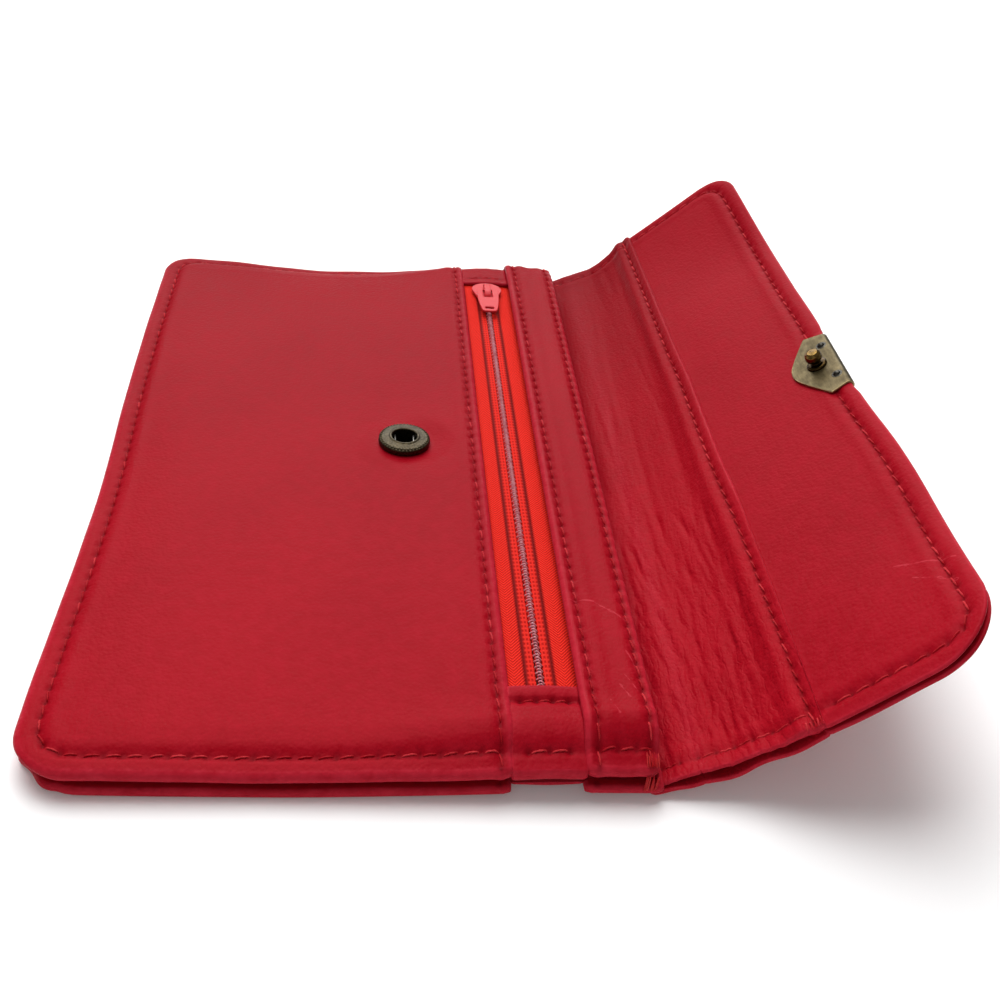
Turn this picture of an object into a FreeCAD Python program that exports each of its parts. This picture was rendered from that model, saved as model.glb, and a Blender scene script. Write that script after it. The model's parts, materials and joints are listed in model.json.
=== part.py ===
import FreeCAD, Part
import math
import os

# Phone wallet case: a flat leather body, lying on its back face, and a snap flap
# that hangs on a leather gusset along the body's right side.
#
# Frame: millimetres. The origin is the centre of the back face, +Z goes up through
# the front, +Y runs along the case's length and +X towards the gusset and the flap.

PARTS_FOLDER = "parts"
os.makedirs(PARTS_FOLDER, exist_ok=True)

Vector = FreeCAD.Vector
AXIS_Y = Vector(0, 1, 0)

DIMENSIONS = {
    # body in plan
    "body_length": 170.6,
    "body_width": 93.6,
    "corner_radius": 10.0,
    "panel_width": 72.0,
    "window_width": 10.4,
    "window_length": 140.0,
    # thicknesses
    "leather": 1.0,
    "lining": 0.4,
    "tape": 0.35,
    "seam_gap": 0.2,
    # the front unit's crown
    "rim_height": 5.0,
    "edge_roll": 1.6,
    "edge_roll_length": 9.0,
    "mouth_rise": 3.75,
    "rise_start": 42.0,
    "rise_length": 46.0,
    "end_slope_length": 14.0,
    "hem_width": 5.5,
    "hem_top": 3.9,
    # zip
    "tape_level": 7.25,
    "tape_half_gap": 0.9,
    "tape_reach": 8.2,
    "coil_width": 1.35,
    "coil_height": 1.1,
    "slider_length": 9.5,
    "slider_width": 6.4,
    "pull_length": 11.0,
    "pull_width": 5.0,
    # gusset and flap, hinged along Y
    "spine_hinge_across": 95.6,
    "spine_hinge_height": 2.0,
    "spine_length": 10.15,
    "spine_angle": 25.0,
    "flap_angle": 34.0,
    "flap_seam_along": 13.6,
    "flap_reach": 42.2,
    "gusset_length": 166.0,
    "gusset_skin": 0.8,
    "fold_clearance": 1.2,
    "flap_half_thickness": 1.0,
    # snap
    "snap_across": 56.8,
    "snap_offset": -0.8,
    "snap_along": 38.0,
    "socket_seat": 7.45,
    "socket_radius": 5.0,
    "socket_bore": 2.3,
    "stud_ball_radius": 1.5,
    "stud_height": 3.2,
    "plate_sheet": 0.7,
    "plate_width": 20.4,
    "plate_edge_width": 18.6,
    "plate_apex_width": 5.0,
    "plate_shoulder": 37.9,
    "plate_apex": 33.2,
}

doc = FreeCAD.newDocument("phone_wallet_case")
sheet = doc.addObject("Spreadsheet::Sheet", "sizes")
for row, (alias, value) in enumerate(DIMENSIONS.items(), start=1):
    sheet.set("A%d" % row, alias)
    sheet.set("B%d" % row, str(value))
    sheet.setAlias("B%d" % row, alias)
doc.recompute()


def size(alias):
    return float(sheet.get(alias))


LEFT = -size("body_width") / 2
RIGHT = size("body_width") / 2
HALF_LENGTH = size("body_length") / 2
PANEL_EDGE = LEFT + size("panel_width")
STRIP_EDGE = PANEL_EDGE + size("window_width")
ZIP_CENTRE = (PANEL_EDGE + STRIP_EDGE) / 2
HALF_WINDOW = size("window_length") / 2
LEATHER = size("leather")
LINING = size("lining")
GAP = size("seam_gap")
BACK_TOP = LEATHER + LINING

subparts = []


# ---------------------------------------------------------------- helpers


def keep(obj, label):
    """Names a finished sub-part and lists it for export."""
    obj.Label = label
    subparts.append(obj)
    return obj


def box(label, low, lengths, angle=0.0):
    """A Part::Box; each length is an expression on the sheet. angle tips it about Y."""
    obj = doc.addObject("Part::Box", label)
    for name, expression in zip(("Length", "Width", "Height"), lengths):
        obj.setExpression(name, expression)
    obj.Placement = FreeCAD.Placement(Vector(*low), FreeCAD.Rotation(AXIS_Y, -angle))
    doc.recompute()
    return obj


def cylinder(label, centre, radius, height, rotation=None):
    """A Part::Cylinder standing on centre; radius and height are expressions."""
    obj = doc.addObject("Part::Cylinder", label)
    obj.setExpression("Radius", radius)
    obj.setExpression("Height", height)
    obj.Placement = FreeCAD.Placement(Vector(*centre), rotation or FreeCAD.Rotation())
    doc.recompute()
    return obj


def round_edges(label, base, picked, radius):
    """A Part::Fillet on the edges of base that picked(edge) accepts."""
    numbers = [n for n, edge in enumerate(base.Shape.Edges, start=1) if picked(edge)]
    obj = doc.addObject("Part::Fillet", label)
    obj.Base = base
    obj.Edges = [(n, radius, radius) for n in numbers]
    doc.recompute()
    return obj


def boolean(kind, label, base, tool):
    obj = doc.addObject("Part::" + kind, label)
    obj.Base = base
    obj.Tool = tool
    doc.recompute()
    return obj


def fuse(label, pieces):
    obj = doc.addObject("Part::MultiFuse", label)
    obj.Shapes = pieces
    doc.recompute()
    return obj


def upright_at(x_value):
    """Accepts the vertical edges that stand at one x."""

    def picked(edge):
        low, high = edge.BoundBox.XMin, edge.BoundBox.XMax
        return edge.BoundBox.ZLength > 0.1 and max(abs(low - x_value), abs(high - x_value)) < 0.01

    return picked


def rounded_plate(label, inset, right, low, height):
    """A flat plate with the case's outline: rounded on the left, square at right."""
    low_corner = (LEFT + inset, -HALF_LENGTH + inset, low)
    wide = "%f" % (right - LEFT - inset)
    long = "sizes.body_length - %f" % (2 * inset)
    plate = box(label + "_blank", low_corner, (wide, long, height))
    return round_edges(label, plate, upright_at(LEFT + inset), size("corner_radius") - inset)


def plane_of(body, role):
    return [f for f in body.Origin.OriginFeatures if f.Role == role][0]


def sketch_on(body, name, role, geometry, height=0.0):
    """A sketch on one of body's own origin planes, height above it, from edges."""
    sketch = body.newObject("Sketcher::SketchObject", name)
    sketch.AttachmentSupport = [(plane_of(body, role), "")]
    sketch.MapMode = "FlatFace"
    sketch.AttachmentOffset = FreeCAD.Placement(Vector(0, 0, height), FreeCAD.Rotation())
    for edge in geometry:
        sketch.addGeometry(edge, False)
    doc.recompute()
    return sketch


def loop(points):
    """Line segments round a closed outline of (u, v) points."""
    corners = [Vector(u, v, 0) for u, v in points]
    return [Part.LineSegment(a, b) for a, b in zip(corners, corners[1:] + corners[:1])]


def rectangle(low_u, low_v, high_u, high_v):
    return loop([(low_u, low_v), (high_u, low_v), (high_u, high_v), (low_u, high_v)])


def pad(body, name, sketch, length):
    feature = body.newObject("PartDesign::Pad", name)
    feature.Profile = sketch
    feature.setExpression("Length", length)
    doc.recompute()
    return feature


def pocket(body, name, sketch, length, upward):
    """Cuts, and stops the build if nothing was removed."""
    before = body.Shape.Volume
    feature = body.newObject("PartDesign::Pocket", name)
    feature.Profile = sketch
    feature.Reversed = upward
    feature.setExpression("Length", length)
    doc.recompute()
    if body.Shape.Volume > before - 1e-6:
        raise RuntimeError(name + " removed nothing")
    return feature


def revolve(body, name, points):
    """Turns a closed (radius, height) outline about the body's own Z axis."""
    sketch = sketch_on(body, name + "_profile", "XZ_Plane", loop(points))
    feature = body.newObject("PartDesign::Revolution", name)
    feature.Profile = sketch
    feature.ReferenceAxis = (sketch, ["V_Axis"])
    feature.Angle = 360.0
    doc.recompute()
    return feature


def new_body(label, base=(0, 0, 0), angle=0.0):
    body = doc.addObject("PartDesign::Body", label)
    body.Placement = FreeCAD.Placement(Vector(*base), FreeCAD.Rotation(AXIS_Y, -angle))
    doc.recompute()
    return body


def shape_node(label, shape):
    obj = doc.addObject("Part::Feature", label)
    obj.Shape = shape
    return obj


# ---------------------------------------------------------------- the front's crown


def smooth(value):
    value = min(max(value, 0.0), 1.0)
    return value * value * (3 - 2 * value)


def crown_middle(x):
    """Height of the front's outer surface half way along, at x."""
    from_left = x - LEFT
    roll = size("edge_roll") * (1 - math.exp(-from_left / size("edge_roll_length")))
    rise = smooth((from_left - size("rise_start")) / size("rise_length"))
    return size("rim_height") + roll + size("mouth_rise") * rise


def end_share(y):
    """0 at the near and far edges, 1 where the front has its full height."""
    return smooth((HALF_LENGTH - abs(y)) / size("end_slope_length"))


def crown(x, y):
    return size("rim_height") + (crown_middle(x) - size("rim_height")) * end_share(y)


LINING_LEVEL = 5.65
LINING_RIM = 3.4
PATCH_LEVEL = 8.75


def lining_under(x, y):
    """Underside of the coin pocket's rear wall: under the zip it hangs lower."""
    near_leather = crown_middle(x) - LEATHER - LINING - GAP
    lift = smooth((x - STRIP_EDGE - 1.5) / 7.0)
    middle = min(near_leather, LINING_LEVEL + lift * (near_leather - LINING_LEVEL))
    socket_dip = 0.9 * math.exp(-(((x - LEFT - size("snap_across")) / 7.0) ** 2))
    return LINING_RIM + (middle - socket_dip - LINING_RIM) * end_share(y)


def spaced(low, high, count):
    return [low + (high - low) * k / (count - 1) for k in range(count)]


def end_stations(low, high):
    """Places along Y for sections: close together on the end slopes."""
    slope = size("end_slope_length")
    full = HALF_LENGTH - slope
    wanted = [-HALF_LENGTH + slope * k / 5 for k in range(6)]
    wanted += [full + slope * k / 5 for k in range(6)]
    inside = [y for y in wanted if low + 0.4 < y < high - 0.4]
    return [low] + inside + [high]


def arched_skin(under, over, x_low, x_high, y_low, y_high, count=9):
    """A thin shell between two heights, lofted through sections across the case."""
    wires = []
    for y in end_stations(y_low, y_high):
        xs = spaced(x_low, x_high, count)
        top = Part.BSplineCurve()
        top.interpolate([Vector(x, y, over(x, y)) for x in xs])
        bottom = Part.BSplineCurve()
        bottom.interpolate([Vector(x, y, under(x, y)) for x in reversed(xs)])
        right = Part.LineSegment(Vector(x_high, y, over(x_high, y)), Vector(x_high, y, under(x_high, y)))
        left = Part.LineSegment(Vector(x_low, y, under(x_low, y)), Vector(x_low, y, over(x_low, y)))
        edges = [top.toShape(), right.toShape(), bottom.toShape(), left.toShape()]
        wires.append(Part.Wire(edges))
    return Part.makeLoft(wires, True, True)


def leather_skin(x_low, x_high, y_low, y_high, over=crown):
    """A layer of leather whose outer surface has the height over(x, y)."""

    def under(x, y):
        return over(x, y) - LEATHER

    return arched_skin(under, over, x_low, x_high, y_low, y_high)


def patch_over(x, y):
    """The patches at the zip's ends lie lower than the panel and strip beside them."""
    return size("rim_height") + (PATCH_LEVEL - size("rim_height")) * end_share(y)


# ---------------------------------------------------------------- body: back unit


def build_back():
    keep(rounded_plate("back_panel", 0.0, PANEL_EDGE - 0.1, 0.0, "sizes.leather"), "back_panel")
    inset_low = (PANEL_EDGE, -HALF_LENGTH + 0.3, 0.35)
    inset_sizes = ("sizes.window_width", "sizes.body_length - 0.6", "sizes.leather - 0.35")
    keep(box("back_inset", inset_low, inset_sizes), "back_inset")
    strip_low = (STRIP_EDGE + 0.1, -HALF_LENGTH, 0.0)
    strip_wide = "sizes.spine_hinge_across - sizes.panel_width - sizes.window_width - 1.3"
    keep(box("back_strip", strip_low, (strip_wide, "sizes.body_length", "sizes.leather")), "back_strip")
    lining_right = LEFT + size("spine_hinge_across") - 1.2
    plate = rounded_plate("back_lining", 0.5, lining_right, LEATHER, "sizes.lining")
    keep(plate, "back_lining")


def build_hem():
    """The turned-in edges that join the two units on three sides."""
    height = "sizes.hem_top - sizes.leather - sizes.lining"
    outer = rounded_plate("hem_outer", 0.4, RIGHT, BACK_TOP, height)
    inner = rounded_plate("hem_inner", size("hem_width"), RIGHT + 5.0, BACK_TOP, height)
    keep(boolean("Cut", "edge_hem", outer, inner), "edge_hem")


# ---------------------------------------------------------------- body: front unit


def build_front():
    outline = rounded_plate("front_outline", 0.0, RIGHT, BACK_TOP, "sizes.rim_height + 10")
    skin = shape_node("front_skin", leather_skin(LEFT, PANEL_EDGE, -HALF_LENGTH, HALF_LENGTH))
    trimmed = boolean("Common", "front_trimmed", skin, outline)
    snap_x = LEFT + size("snap_across")
    snap_y = size("snap_offset")
    seat = cylinder("snap_seat", (snap_x, snap_y, size("socket_seat")), "sizes.socket_radius + 0.1", "5")
    hole = cylinder("snap_hole", (snap_x, snap_y, BACK_TOP), "sizes.socket_bore + 0.7", "12")
    cutter = fuse("snap_cutter", [seat, hole])
    keep(boolean("Cut", "front_panel", trimmed, cutter), "front_panel")
    strip = leather_skin(STRIP_EDGE, RIGHT, -HALF_LENGTH + 0.2, HALF_LENGTH - 0.2)
    keep(shape_node("mouth_strip", strip), "mouth_strip")
    patch_low = PANEL_EDGE + 0.1
    patch_high = STRIP_EDGE - 0.1
    near = leather_skin(patch_low, patch_high, -HALF_LENGTH + 0.3, -HALF_WINDOW, patch_over)
    keep(shape_node("zip_patch_near", near), "zip_patch_near")
    far = leather_skin(patch_low, patch_high, HALF_WINDOW, HALF_LENGTH - 0.3, patch_over)
    keep(shape_node("zip_patch_far", far), "zip_patch_far")

    def pocket_over(x, y):
        return lining_under(x, y) + LINING

    inset = size("hem_width") + 0.3
    end = HALF_LENGTH - inset
    wall = arched_skin(lining_under, pocket_over, LEFT + inset, RIGHT - 0.4, -end, end, 15)
    wall_skin = shape_node("pocket_wall_skin", wall)
    wall_outline = rounded_plate("pocket_wall_outline", inset, RIGHT, BACK_TOP, "sizes.rim_height + 10")
    trimmed_wall = boolean("Common", "coin_pocket_lining", wall_skin, wall_outline)
    keep(trimmed_wall, "coin_pocket_lining")


def build_mouth_tacks():
    """Bound bar tacks at both ends of the mouth, where it takes the strain."""
    for name, low_y in (("mouth_tack_near", -HALF_LENGTH - 0.5), ("mouth_tack_far", HALF_LENGTH + 0.1)):
        low = (RIGHT - 3.5, low_y, BACK_TOP + 0.1)
        height = "sizes.rim_height - sizes.leather - sizes.lining - 0.3"
        tack = box(name + "_blank", low, ("3.4", "0.4", height))
        keep(tack, name)


# ---------------------------------------------------------------- body: zip chain


def build_zip_chain():
    level = size("tape_level")
    half_tape = HALF_WINDOW + 1.6
    tape_long = "sizes.window_length + 3.2"
    tape_wide = "sizes.tape_reach - sizes.tape_half_gap"
    sides = (("left", ZIP_CENTRE - size("tape_reach")), ("right", ZIP_CENTRE + size("tape_half_gap")))
    for side, low_x in sides:
        name = "zip_tape_" + side
        keep(box(name, (low_x, -half_tape, level), (tape_wide, tape_long, "sizes.tape")), name)
    coil_low = level + (size("tape") - size("coil_height")) / 2
    coil_end = HALF_WINDOW - 1.6 - size("slider_length")
    coil_long = "%f" % (coil_end + HALF_WINDOW - 0.6)
    half_gap = size("tape_half_gap") - 0.05
    coils = (("left", ZIP_CENTRE - half_gap), ("right", ZIP_CENTRE + 0.05))
    for side, low_x in coils:
        name = "zip_coil_" + side
        low = (low_x, -HALF_WINDOW + 0.6, coil_low)
        keep(box(name, low, ("%f" % (half_gap - 0.05), coil_long, "sizes.coil_height")), name)
    stop_sizes = ("sizes.tape_half_gap - 0.15", "1.2", "sizes.coil_height - 0.3")
    stops = (("left", ZIP_CENTRE - size("tape_half_gap")), ("right", ZIP_CENTRE + 0.15))
    for side, low_x in stops:
        name = "zip_top_stop_" + side
        keep(box(name, (low_x, HALF_WINDOW + 0.2, coil_low), stop_sizes), name)
    bottom_low = (ZIP_CENTRE - size("tape_half_gap"), -HALF_WINDOW - 1.5, coil_low)
    bottom_sizes = ("2 * sizes.tape_half_gap", "1.8", "sizes.coil_height - 0.3")
    keep(box("zip_bottom_stop", bottom_low, bottom_sizes), "zip_bottom_stop")


# ---------------------------------------------------------------- slider and pull


SLIDER_HALF_HEIGHT = 1.3


SLIDER_FAR_END = HALF_WINDOW - 0.5


def build_slider():
    """A slider: two plates joined by a post at the far end, which parts the coils."""
    length = size("slider_length")
    half_width = size("slider_width") / 2
    middle = size("tape_level") + size("tape") / 2
    body = new_body("slider_body", (ZIP_CENTRE, SLIDER_FAR_END - length, middle))
    plate_low = 0.72
    plate_high = SLIDER_HALF_HEIGHT
    mouth_half = half_width * 0.62
    shoulder_half = half_width * 0.92
    end_half = half_width * 0.5
    widest = length * 0.55
    shoulder = length * 0.85
    outline = [
        (-mouth_half, 0.0),
        (mouth_half, 0.0),
        (half_width, widest),
        (shoulder_half, shoulder),
        (end_half, length),
        (-end_half, length),
        (-shoulder_half, shoulder),
        (-half_width, widest),
    ]
    lower = sketch_on(body, "slider_lower_outline", "XY_Plane", loop(outline), -plate_high)
    pad(body, "slider_lower_plate", lower, "%f" % (plate_high - plate_low))
    post = rectangle(-0.7, length * 0.68, 0.7, length * 0.92)
    post_sketch = sketch_on(body, "slider_post_outline", "XY_Plane", post, -plate_low - 0.05)
    pad(body, "slider_post", post_sketch, "%f" % (2 * plate_low + 0.1))
    upper = sketch_on(body, "slider_upper_outline", "XY_Plane", loop(outline), plate_low)
    pad(body, "slider_upper_plate", upper, "%f" % (plate_high - plate_low))
    keep(body, "slider_body")

    # the crown is a bridge over the upper plate, which holds the pull's pin
    crown_base = (ZIP_CENTRE, SLIDER_FAR_END - length, middle + plate_high)
    crown_body = new_body("slider_crown", crown_base)
    side = [
        (1.6, 0.0),
        (length - 1.4, 0.0),
        (length - 1.9, 0.9),
        (length - 2.9, 1.15),
        (2.9, 1.15),
        (2.1, 0.8),
    ]
    bridge = sketch_on(crown_body, "crown_outline", "YZ_Plane", loop(side), -0.7)
    pad(crown_body, "crown_bridge", bridge, "1.4")
    under = rectangle(3.3, -0.1, length - 3.4, 0.78)
    tunnel = sketch_on(crown_body, "crown_tunnel_outline", "YZ_Plane", under, -0.9)
    pocket(crown_body, "crown_tunnel", tunnel, "1.8", True)
    keep(crown_body, "slider_crown")


PULL_PIN_FROM_END = 4.7
PULL_PIN_LIFT = 0.4
PULL_HALF_SHEET = 0.22


def pull_pin():
    """Where the pull's pin lies under the slider's crown."""
    level = size("tape_level") + size("tape") / 2 + SLIDER_HALF_HEIGHT + PULL_PIN_LIFT
    return Vector(ZIP_CENTRE, SLIDER_FAR_END - PULL_PIN_FROM_END, level)


def build_pull():
    """The pull: a bar under the crown, two cheeks, and a tapered leaf with a slot."""
    pin = pull_pin()
    body = new_body("zip_pull", (pin.x, pin.y, pin.z))
    half = size("pull_width") / 2
    length = size("pull_length")
    bar = PULL_HALF_SHEET
    tip = [
        (half, -5.4),
        (half * 0.62, -length + 1.2),
        (half * 0.36, -length),
        (-half * 0.36, -length),
        (-half * 0.62, -length + 1.2),
        (-half, -5.4),
    ]
    leaf = [(-half * 0.8, bar), (half * 0.8, bar), (half, -1.2)] + tip + [(-half, -1.2)]
    outline = sketch_on(body, "pull_outline", "XY_Plane", loop(leaf), -bar)
    pad(body, "pull_leaf", outline, "%f" % (2 * bar))
    thick = sketch_on(body, "pull_tip_outline", "XY_Plane", loop(tip), bar)
    pad(body, "pull_tip", thick, "0.3")
    # the crown stands in this opening; the bar beyond it is the pin
    crown_window = rectangle(-1.05, -3.9, 1.05, -bar)
    opening = sketch_on(body, "pull_opening_outline", "XY_Plane", crown_window, -0.5)
    pocket(body, "pull_opening", opening, "2", True)
    slot = rectangle(-0.55, -length + 1.5, 0.55, -length + 3.2)
    end_slot = sketch_on(body, "pull_slot_outline", "XY_Plane", slot, -0.5)
    pocket(body, "pull_slot", end_slot, "2", True)
    keep(body, "zip_pull")


# ---------------------------------------------------------------- snap socket


def build_socket():
    snap_x = LEFT + size("snap_across")
    centre = (snap_x, size("snap_offset"), size("socket_seat"))
    radius = size("socket_radius")
    bore = size("socket_bore")
    ring = new_body("socket_ring", centre)
    profile = [
        (bore, -1.4),
        (bore + 0.55, -1.4),
        (bore + 0.55, 0.0),
        (radius - 0.35, 0.0),
        (radius, 0.3),
        (radius, 0.75),
        (radius - 0.3, 1.1),
        (radius - 1.0, 1.5),
        (radius - 1.9, 1.7),
        (bore + 0.25, 1.65),
        (bore, 1.4),
    ]
    revolve(ring, "ring_turning", profile)
    keep(ring, "socket_ring")
    cap = new_body("socket_cap", centre)
    cap_profile = [
        (0.0, -1.85),
        (3.4, -1.85),
        (3.9, -1.65),
        (3.9, -1.4),
        (0.0, -1.4),
    ]
    revolve(cap, "cap_turning", cap_profile)
    keep(cap, "socket_cap")
    along_y = FreeCAD.Rotation(Vector(1, 0, 0), -90)
    wires = []
    wire_apart = 1.8
    wire_length = 3.1
    wire_low_y = size("snap_offset") - wire_length / 2
    wire_level = size("socket_seat") + 0.6
    for name, side in (("spring_left", -1), ("spring_right", 1)):
        start = (snap_x + side * wire_apart, wire_low_y, wire_level)
        wires.append(cylinder(name, start, "0.2", "%f" % wire_length, along_y))
    keep(fuse("socket_spring", wires), "socket_spring")


# ---------------------------------------------------------------- gusset and flap


def direction(angle):
    return Vector(math.cos(math.radians(angle)), 0, math.sin(math.radians(angle)))


def normal(angle):
    return Vector(-math.sin(math.radians(angle)), 0, math.cos(math.radians(angle)))


SPINE_HINGE = Vector(LEFT + size("spine_hinge_across"), 0, size("spine_hinge_height"))
SPINE_DIRECTION = direction(size("spine_angle"))
SPINE_NORMAL = normal(size("spine_angle"))
FLAP_HINGE = SPINE_HINGE + SPINE_DIRECTION * size("spine_length")
FLAP_DIRECTION = direction(size("flap_angle"))
FLAP_NORMAL = normal(size("flap_angle"))


def slab(label, origin, angle, along, above, lengths):
    """A leather slab in a tipped frame: along and above are its low corner there."""
    width = lengths[1]
    low = origin + direction(angle) * along + normal(angle) * above
    return box(label, (low.x, -width / 2, low.z), (lengths[0], "%f" % width, lengths[2]), angle)


def y_prism(label, corners, half_width):
    """A prism along Y over a closed outline of points in the XZ plane."""
    points = [Vector(p.x, -half_width, p.z) for p in corners]
    face = Part.Face(Part.makePolygon(points + points[:1]))
    return keep(shape_node(label, face.extrude(Vector(0, 2 * half_width, 0))), label)


def build_gusset():
    """The gusset's lower part, from the body's fold to the fold that meets the flap."""
    angle = size("spine_angle")
    start = size("fold_clearance")
    skin = size("gusset_skin")
    width = size("gusset_length")
    long = "sizes.spine_length - 2 * sizes.fold_clearance"
    inner = slab("gusset_inner", SPINE_HINGE, angle, start, 0.0, (long, width, "sizes.gusset_skin"))
    keep(inner, "gusset_inner")
    outer = slab("gusset_outer", SPINE_HINGE, angle, start, -skin, (long, width, "sizes.gusset_skin"))
    keep(outer, "gusset_outer")
    body_end = SPINE_HINGE.x - 1.15
    near = SPINE_HINGE + SPINE_DIRECTION * (start - 0.05)
    fold = [
        Vector(body_end, 0, 0.1),
        near - SPINE_NORMAL * (skin - 0.05),
        near + SPINE_NORMAL * (skin - 0.05),
        Vector(body_end, 0, BACK_TOP - 0.1),
    ]
    y_prism("gusset_fold_lower", fold, width / 2 - 1.0)
    end = SPINE_HINGE + SPINE_DIRECTION * (size("spine_length") - start + 0.05)
    far = FLAP_HINGE + FLAP_DIRECTION * (size("fold_clearance") + 0.05)
    fold = [
        end - SPINE_NORMAL * (skin - 0.05),
        far - FLAP_NORMAL * (skin - 0.05),
        far + FLAP_NORMAL * (skin - 0.05),
        end + SPINE_NORMAL * (skin - 0.05),
    ]
    y_prism("gusset_fold_upper", fold, width / 2 - 1.0)


def build_flap():
    angle = size("flap_angle")
    start = size("fold_clearance") + 0.1
    seam = size("flap_seam_along")
    skin = size("gusset_skin")
    width = size("gusset_length")
    long = "sizes.flap_seam_along - sizes.fold_clearance - 0.2"
    lengths = (long, width, "sizes.gusset_skin")
    upper_in = slab("gusset_upper_inner", FLAP_HINGE, angle, start, 0.0, lengths)
    keep(upper_in, "gusset_upper_inner")
    upper_out = slab("gusset_upper_outer", FLAP_HINGE, angle, start, -skin, lengths)
    keep(upper_out, "gusset_upper_outer")

    full = size("body_length")
    reach = "sizes.flap_reach - sizes.flap_seam_along"
    half = size("flap_half_thickness")
    layers = (
        ("flap_outer", -half, "sizes.flap_half_thickness - 0.15", full, 0.0),
        ("flap_stiffener", -0.15, "0.3", full - 12.0, 3.0),
        ("flap_inner", 0.15, "sizes.flap_half_thickness - 0.15", full, 0.0),
    )
    for name, above, height, wide, inset in layers:
        lengths = (reach + " - %f" % (2 * inset), wide, height)
        blank = slab(name + "_blank", FLAP_HINGE, angle, seam + inset, above, lengths)
        outer_edge = FLAP_HINGE + FLAP_DIRECTION * (size("flap_reach") - inset)

        def at_outer_corner(edge, outer_edge=outer_edge, wide=wide):
            centre = edge.CenterOfMass
            on_edge = abs((centre - outer_edge).dot(FLAP_DIRECTION)) < 0.01
            return on_edge and abs(abs(centre.y) - wide / 2) < 0.01

        rounded = round_edges(name, blank, at_outer_corner, size("corner_radius") - inset)
        keep(rounded, name)
    ridge = slab("flap_seam", FLAP_HINGE, angle, seam - 0.9, half + 0.02, ("1.8", full - 4.0, "0.5"))
    keep(ridge, "flap_seam")


def plate_outline(grow=0.0):
    """Half hexagon, in the flap's own plane: (along, across)."""
    edge = size("flap_reach") + 0.05
    return [
        (size("plate_apex"), -size("plate_apex_width") / 2),
        (size("plate_shoulder"), -size("plate_width") / 2),
        (edge + grow, -size("plate_edge_width") / 2),
        (edge + grow, size("plate_edge_width") / 2),
        (size("plate_shoulder"), size("plate_width") / 2),
        (size("plate_apex"), size("plate_apex_width") / 2),
    ]


def build_catch():
    """The catch plate is folded over the flap's edge, and carries the ball stud."""
    angle = size("flap_angle")
    offset = size("snap_offset")
    half = size("flap_half_thickness") + 0.05
    sheet_metal = size("plate_sheet")
    base = FLAP_HINGE + Vector(0, offset, 0)
    body = new_body("catch_plate", (base.x, base.y, base.z), angle)
    inner = sketch_on(body, "plate_inner_outline", "XY_Plane", loop(plate_outline(sheet_metal)), half)
    pad(body, "plate_inner_leg", inner, "sizes.plate_sheet")
    edge = size("flap_reach") + 0.05
    half_edge = size("plate_edge_width") / 2
    fold = rectangle(edge, -half_edge, edge + sheet_metal, half_edge)
    fold_sketch = sketch_on(body, "plate_fold_outline", "XY_Plane", fold, -half - sheet_metal)
    pad(body, "plate_fold", fold_sketch, "2 * sizes.flap_half_thickness + 0.1 + sizes.plate_sheet")
    outer = [
        (size("plate_shoulder"), -half_edge + 3.0),
        (edge + sheet_metal, -half_edge),
        (edge + sheet_metal, half_edge),
        (size("plate_shoulder"), half_edge - 3.0),
    ]
    outer_sketch = sketch_on(body, "plate_outer_outline", "XY_Plane", loop(outer), -half - sheet_metal)
    pad(body, "plate_outer_leg", outer_sketch, "sizes.plate_sheet")
    keep(body, "catch_plate")

    along = size("snap_along")
    foot = base + FLAP_DIRECTION * along + FLAP_NORMAL * (half + sheet_metal)
    stud = new_body("ball_stud", (foot.x, foot.y, foot.z), angle)
    ball = size("stud_ball_radius")
    height = size("stud_height")
    profile = [(0.0, 0.0), (1.9, 0.0), (1.9, 0.35), (1.1, 0.6), (0.95, height - 2 * ball + 0.35)]
    for step in range(1, 7):
        turn = math.radians(-50 + 140 * step / 6)
        profile.append((ball * math.cos(turn), height - ball + ball * math.sin(turn)))
    profile[-1] = (0.0, height)
    revolve(stud, "stud_turning", profile)
    keep(stud, "ball_stud")

    rivet_across = 5.5
    rivet_past_stud = 2.4
    for name, across in (("plate_rivet_near", -rivet_across), ("plate_rivet_far", rivet_across)):
        foot = base + FLAP_DIRECTION * (along + rivet_past_stud) + FLAP_NORMAL * (half + sheet_metal)
        rivet = new_body(name, (foot.x, foot.y + across, foot.z), angle)
        dome = [(0.0, 0.0), (0.85, 0.0), (0.8, 0.25), (0.55, 0.42), (0.0, 0.5)]
        revolve(rivet, name + "_turning", dome)
        keep(rivet, name)


# ---------------------------------------------------------------- build and export

build_back()
build_hem()
build_front()
build_mouth_tacks()
build_zip_chain()
build_slider()
build_pull()
build_socket()
build_gusset()
build_flap()
build_catch()
doc.recompute()

for obj in doc.Objects:
    if "Invalid" in obj.State or "Error" in obj.State:
        raise RuntimeError("failed feature: " + obj.Name)

for obj in subparts:
    shape = obj.Shape
    if shape.isNull() or not shape.isValid() or shape.Volume <= 0:
        raise RuntimeError("bad shape: " + obj.Label)
    print(obj.Label, len(shape.Solids), round(shape.Volume, 2))

for obj in subparts:
    obj.Shape.exportStep(os.path.join(PARTS_FOLDER, obj.Label + ".step"))
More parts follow.
